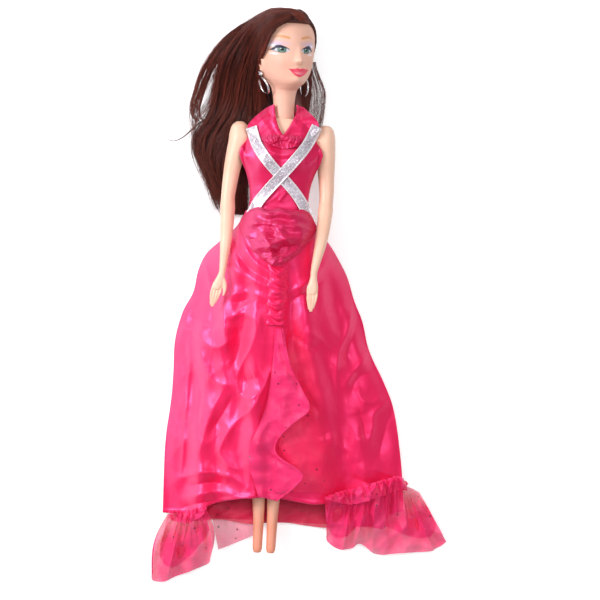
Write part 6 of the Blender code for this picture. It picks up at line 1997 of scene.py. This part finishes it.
def lay_fibres(name, guides, count, steps, tree, seed, **given):
    """Strands through a fan of guides, laid on the head and the sweep's mass."""
    spread = given.get("spread", 1.6)
    wave = given.get("wave", 2.2)
    depth = given.get("depth", 0.55)
    lift = given.get("lift", 0.0006)
    chance = np.random.RandomState(seed)
    place = chance.rand(count)
    if given.get("bunched"):
        locks = given["bunched"]
        near = (np.floor(place * locks) + 0.5) / locks
        place = near + (place - near) * 0.55
    line = between_guides(guides, place, steps)
    along = np.linspace(0, 1, steps)[None, :]
    groups = given.get("bunched", 40)
    group = np.minimum((place * groups).astype(int), groups - 1)
    phase = (chance.rand(groups, 4)[group] + 0.10 * chance.randn(count, 4)) * TURN
    turns = 1.2 + 1.6 * chance.rand(groups, 2)[group]
    sway = wave * (0.25 + along**1.2)
    line[..., 0] += sway * np.sin(TURN * turns[:, :1] * along + phase[:, :1])
    line[..., 1] += 0.5 * sway * np.sin(TURN * turns[:, 1:] * along + phase[:, 1:2])
    line += spread * chance.randn(count, 1, 2) * (0.3 + 0.7 * along[..., None])
    ends = given.get("ends", (0.86, 1.0))
    reach = ends[0] + (ends[1] - ends[0]) * chance.rand(count)
    at = np.linspace(0, 1, steps)
    for i in range(count):
        line[i, :, 0], line[i, :, 1] = (np.interp(at * reach[i], at, line[i, :, 0]),
                                        np.interp(at * reach[i], at, line[i, :, 1]))
    x, height = from_view(line[..., 0], line[..., 1])
    lock = (np.sin(place * 83.0) * 0.5 + 0.5)[:, None]
    sink = depth * chance.rand(count, 1) ** 1.6
    z = sweep_roof(x, height, sink)
    for i in range(count):
        for j in range(steps):
            start = Vector((x[i, j], height[i, j], 0.09)) + DOLL_ORIGIN
            hit = tree.ray_cast(start, DOWNWARD)[0]
            if hit is not None:
                z[i, j] = max(z[i, j], hit.z + 0.0001)
    for _ in range(4):
        ends_kept = z[:, (0, -1)].copy()
        z = np.maximum(z, (np.roll(z, 1, 1) + np.roll(z, -1, 1)) / 2)
        z[:, (0, -1)] = ends_kept
    z = z + lift * (0.2 + chance.rand(count, 1) + given.get("ridge", 1.2) * lock)
    z = z + 0.0004 * np.sin(TURN * turns[:, :1] * 1.7 * along + phase[:, 2:3]) * along
    thin = given.get("thin", 0.00011)
    taper = thin * (0.7 + 0.6 * chance.rand(count, 1)) * (1 - 0.55 * along**4)
    tone = np.clip(0.02 + 0.22 * chance.randn(count, 1) + 0.42 * lock + 0.14 * along
                   + 0.18 * np.sin(TURN * (along * 1.5 + place[:, None] * 3)), 0, 1)
    points = np.stack([x, height, np.maximum(z, 0.0004)], -1)
    return fibres(name, points, taper, tone, 3, given.get("frizz", 0.0003))


def hair_mass(name, edges, depth_share, top=1.0, shade=0.05):
    """A dark combed body between two edges given in the view, low behind the neck."""
    places = np.array(edges, float)
    py = np.linspace(places[0, 0], places[-1, 0], 100)
    outer_px, inner_px = smooth(edges, py)
    left, height = from_view(outer_px, py)
    right, _ = from_view(inner_px, py)
    share = (height - HAIR_SWEEP_END_HEIGHT) / (HAIR_SWEEP_TOP_HEIGHT - HAIR_SWEEP_END_HEIGHT)
    _, _, floor, roof = smooth(HAIR_SWEEP_SHARES, np.clip(share, 0, 1))
    low = (floor + 0.02) * HAIR_SWEEP_DEPTH
    high = np.maximum(roof * depth_share, 0.10) * HAIR_SWEEP_DEPTH * top
    centres = np.column_stack([(left + right) / 2, height, (low + high) / 2])
    rings = ovals(centres, np.maximum(right - left, 0.002) / 2, (high - low) / 2, 120, 2.4)
    angle = TURN * np.arange(120) / 120
    step = np.linspace(0, 1, 100)[:, None]
    comb = (np.sin(23 * angle[None, :] + 9 * step) + 0.6 * np.sin(41 * angle[None, :] - 13 * step))
    middle = centres[:, None, :]
    rings = middle + (rings - middle) * (1 + 0.045 * comb[..., None])
    mass = capped(name, rings, HAIR)
    tone = mass.data.attributes.new("tone", "FLOAT", "POINT")
    tone.data.foreach_set("value", np.full(len(mass.data.vertices), shade, np.float32))
    return mass


NAPE_EDGES = [(62, 262, 311), (80, 264, 311), (100, 268, 309), (118, 270, 305), (128, 272, 300)]


def make_hair_sweep(tree):
    """A dark inner mass, with fibres laid over it in locks."""
    mass = hair_mass("hair_sweep_mass", MASS_EDGES, 0.90)
    nape = hair_mass("hair_nape_mass", NAPE_EDGES, 0.30, 0.9, 0.30)
    made = [mass, nape]
    made.append(lay_fibres("hair_sweep_fibres", SWEEP_GUIDES, 1000, 25, tree, SEED + 20,
                           bunched=26, spread=1.1, wave=2.6))
    made.append(lay_fibres("hair_outer_lock", OUTER_GUIDES, 190, 26, tree, SEED + 27,
                           bunched=5, spread=0.6, wave=0.9, depth=0.3))
    made.append(lay_fibres("hair_sweep_loose", OUTER_GUIDES[:1] + SWEEP_GUIDES, 380, 30, tree,
                           SEED + 21, spread=2.2, wave=2.8, depth=0.2, lift=0.0014,
                           thin=0.00008, frizz=0.0006))
    made.append(lay_fibres("hair_beside_face", FACE_GUIDES, 260, 22, tree, SEED + 22,
                           spread=1.4, wave=1.6, depth=0.1, lift=0.0010))
    for item in made:
        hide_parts("hair_right_sweep")
    return made


def make_hair_crown(tree):
    made = lay_fibres("hair_crown_fibres", CROWN_GUIDES, 420, 20, tree, SEED + 23,
                      spread=1.1, wave=0.8, depth=0.0, lift=0.0003, bunched=18)
    back = []
    chance = np.random.RandomState(SEED + 24)
    for _ in range(600):
        angle = math.radians(100 + 340 * chance.rand())
        low = float(hairline(np.array(angle)))
        level = np.linspace(0.02, 1.0, 16)
        share = low + (0.982 - low) * level**0.8
        turn = angle + 0.25 * (chance.rand() - 0.5) * level
        bare = head_points(turn, share, 0.0)
        lifted = head_points(turn, share, 0.001)
        at = cap_lift(turn, level) + 0.0003 * chance.rand()
        back.append(bare + (lifted - bare) * (at / 0.001)[:, None])
    lines = out_of_head(np.array(back))
    tone = np.clip(0.2 + 0.3 * chance.randn(len(back), 1), 0, 1)
    combed = fibres("hair_back_fibres", lines, 0.00014, tone, 3, 0.0002)
    for item in (made, combed):
        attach(item, "head")


def make_hair_wisps():
    """The thin side of the hair, a sheer fall behind the doll's left shoulder."""
    chance = np.random.RandomState(SEED + 25)
    count, steps = 240, 24
    low_height = SHOULDER_HEIGHT + SHOULDER_RADIUS * 0.6
    high_height = NECK_BASE_HEIGHT + HEAD_HEIGHT * 0.58
    place = 0.5 + 0.5 * np.sin(TURN / 2 * (chance.rand(count, 1) - 0.5))
    share = np.linspace(1, 0, steps)[None, :]
    fall = 0.75 + 0.25 * chance.rand(count, 1)
    share = 1 - (1 - share) * fall
    height = low_height + (high_height - low_height) * share
    inner = HAIR_WISP_WIDTH * (0.45 - 0.07 * ramp(share, 0.5, 1.0))
    outer = HAIR_WISP_WIDTH * (1.0 - 0.28 * ramp(share, 0.55, 1.0) - 0.10 * hill(share, 0, 0.3))
    x = inner + (outer - inner) * place
    x = x + 0.0006 * np.sin(TURN * (1.3 * share + chance.rand(count, 1))) * (1.1 - share)
    rise = HAIR_STRAND_RADIUS * (2 + 9.5 * ramp(share, 0.1, 1.0))
    z = rise + HAIR_STRAND_RADIUS * 2 * chance.rand(count, 1)
    tone = np.clip(0.60 + 0.25 * chance.randn(count, 1), 0, 1)
    item = fibres("hair_left_fibres", np.stack([x, height, z], -1), 0.000040, tone, 3, 0.0007)
    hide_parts("hair_left_wisps")
    return item


def make_hair_curl():
    """One loose curl that springs out of the sweep's edge."""
    chance = np.random.RandomState(SEED + 26)
    lines = []
    for _ in range(14):
        line = np.array(curved(CURL_LINE, 6))
        reach = 0.86 + 0.14 * chance.rand()
        at = np.linspace(0, 1, len(line))
        line = np.column_stack([np.interp(at * reach, at, line[:, k]) for k in (0, 1)])
        line += 0.45 * chance.randn(1, 2) * (1.1 - at[:, None])
        x, height = from_view(line[:, 0], line[:, 1])
        z = HAIR_STRAND_RADIUS * (5 - 3 * at) + 0.0002 * chance.rand()
        lines.append(np.column_stack([x, height, z]))
    lines = np.array(lines)
    tone = np.clip(0.4 + 0.3 * chance.randn(len(lines), 1), 0, 1)
    curl = fibres("hair_curl_fibres", lines, 0.00010, tone, 4, 0.0002)
    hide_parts("hair_curl")
    return curl


# Assembly


def hang_on_hips(item):
    """Bake a skirt piece's placement into its points; it stays unattached to any body."""
    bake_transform(item)


make_torso()
for side, name in ((1, "left"), (-1, "right")):
    make_leg(side, name)
    make_arm(side, name)
    make_earring(side, name)
make_head()

bodice, closure = make_bodice()
collar = make_collar(bodice[0])

skirt = [make_front("skirt_front_right_satin", "skirt_front_right", -1.0, 0.0208),
         make_front("skirt_front_left_satin", "skirt_front_left", 0.0212, 1.0)]
satin_tree = tree_of(skirt)
chest_tree = tree_of([bodice[0]] + collar + skirt)
for item in bodice + [closure] + collar + make_ribbons(chest_tree):
    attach(item, "torso")
skirt.append(make_ruche(satin_tree))
drape = make_drape(tree_of(skirt))
skirt.append(make_overlay(satin_tree))
net_tree = tree_of(skirt)
skirt += make_flounce(net_tree)
skirt += make_hem_ruffles(satin_tree)
skirt += [make_skirt_back(), make_lining(), drape]
for item in skirt:
    hang_on_hips(item)

cap = make_hair_cap()
cap_tree = tree_of([cap])
for item in make_hair_sweep(cap_tree) + [make_hair_wisps(), make_hair_curl()]:
    if item.name == "hair_nape_mass":
        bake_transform(item)
    else:
        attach(item, "head")
make_hair_crown(cap_tree)

for node, finish in (("hip_pin", STEEL), ("neck_peg", BODY_PLASTIC)):
    part = bpy.data.objects[node]
    part.data.materials.clear()
    part.data.materials.append(finish)


# Stage: a pale table, soft light from the upper left and a weak fill

def backdrop(wiring, shader):
    """Plain white to the camera and in reflections, while the floor keeps the shadow."""
    rays = wiring.node("ShaderNodeLightPath").outputs
    seen = wiring.math("MAXIMUM", rays["Is Camera Ray"], rays["Is Glossy Ray"])
    seen = wiring.math("MAXIMUM", seen, rays["Is Transmission Ray"])
    wiring.dress(shader, Base_Color=wiring.mix(seen, srgb(196, 196, 198), (0.97, 0.97, 0.97)),
                 Emission_Strength=wiring.math("MULTIPLY", seen, FLOOR_GLOW))


FLOOR_GLOW = 0.38
FLOOR = material("pale_table", backdrop, Roughness=0.9, Emission_Color=(1.0, 1.0, 1.0),
                 Specular_IOR_Level=0.0)
floor_mesh = bmesh.new()
bmesh.ops.create_grid(floor_mesh, x_segments=1, y_segments=1, size=3.0)
floor_data = bpy.data.meshes.new("pale_table_top")
floor_mesh.to_mesh(floor_data)
floor_mesh.free()
floor_data.transform(Matrix.Translation((0, 0, -0.0002)))
new_object("pale_table_top", floor_data, FLOOR)

world = bpy.data.worlds.new("studio")
bpy.context.scene.world = world
world.use_nodes = True
world.node_tree.nodes["Background"].inputs["Color"].default_value = (0.96, 0.97, 1.0, 1.0)
world.node_tree.nodes["Background"].inputs["Strength"].default_value = 0.45


def lamp(name, spot, target, size, power, colour):
    data = bpy.data.lights.new(name, "AREA")
    data.size = size
    data.energy = power
    data.color = colour
    item = bpy.data.objects.new(name, data)
    bpy.context.scene.collection.objects.link(item)
    item.location = spot
    item.rotation_euler = (Vector(target) - Vector(spot)).to_track_quat("-Z", "Y").to_euler()


lamp("window_left", (-0.62, 0.22, 0.52), (0, 0, 0), 0.34, 5.0, (1.0, 0.98, 1.0))
lamp("soft_top", (0.24, 0.22, 0.95), (0, 0, 0), 0.60, 3.5, (1.0, 0.99, 0.98))

camera_data = bpy.data.cameras.new("camera")
camera_data.sensor_width = 36.0
camera_data.lens = 132.6
camera = bpy.data.objects.new("camera", camera_data)
bpy.context.scene.collection.objects.link(camera)
camera.location = (-0.00588, 0.00053, 1.2)
camera.rotation_euler = (0, 0, math.radians(2.93))
bpy.context.scene.camera = camera
bpy.context.scene.view_settings.view_transform = "Standard"

bpy.context.view_layer.update()
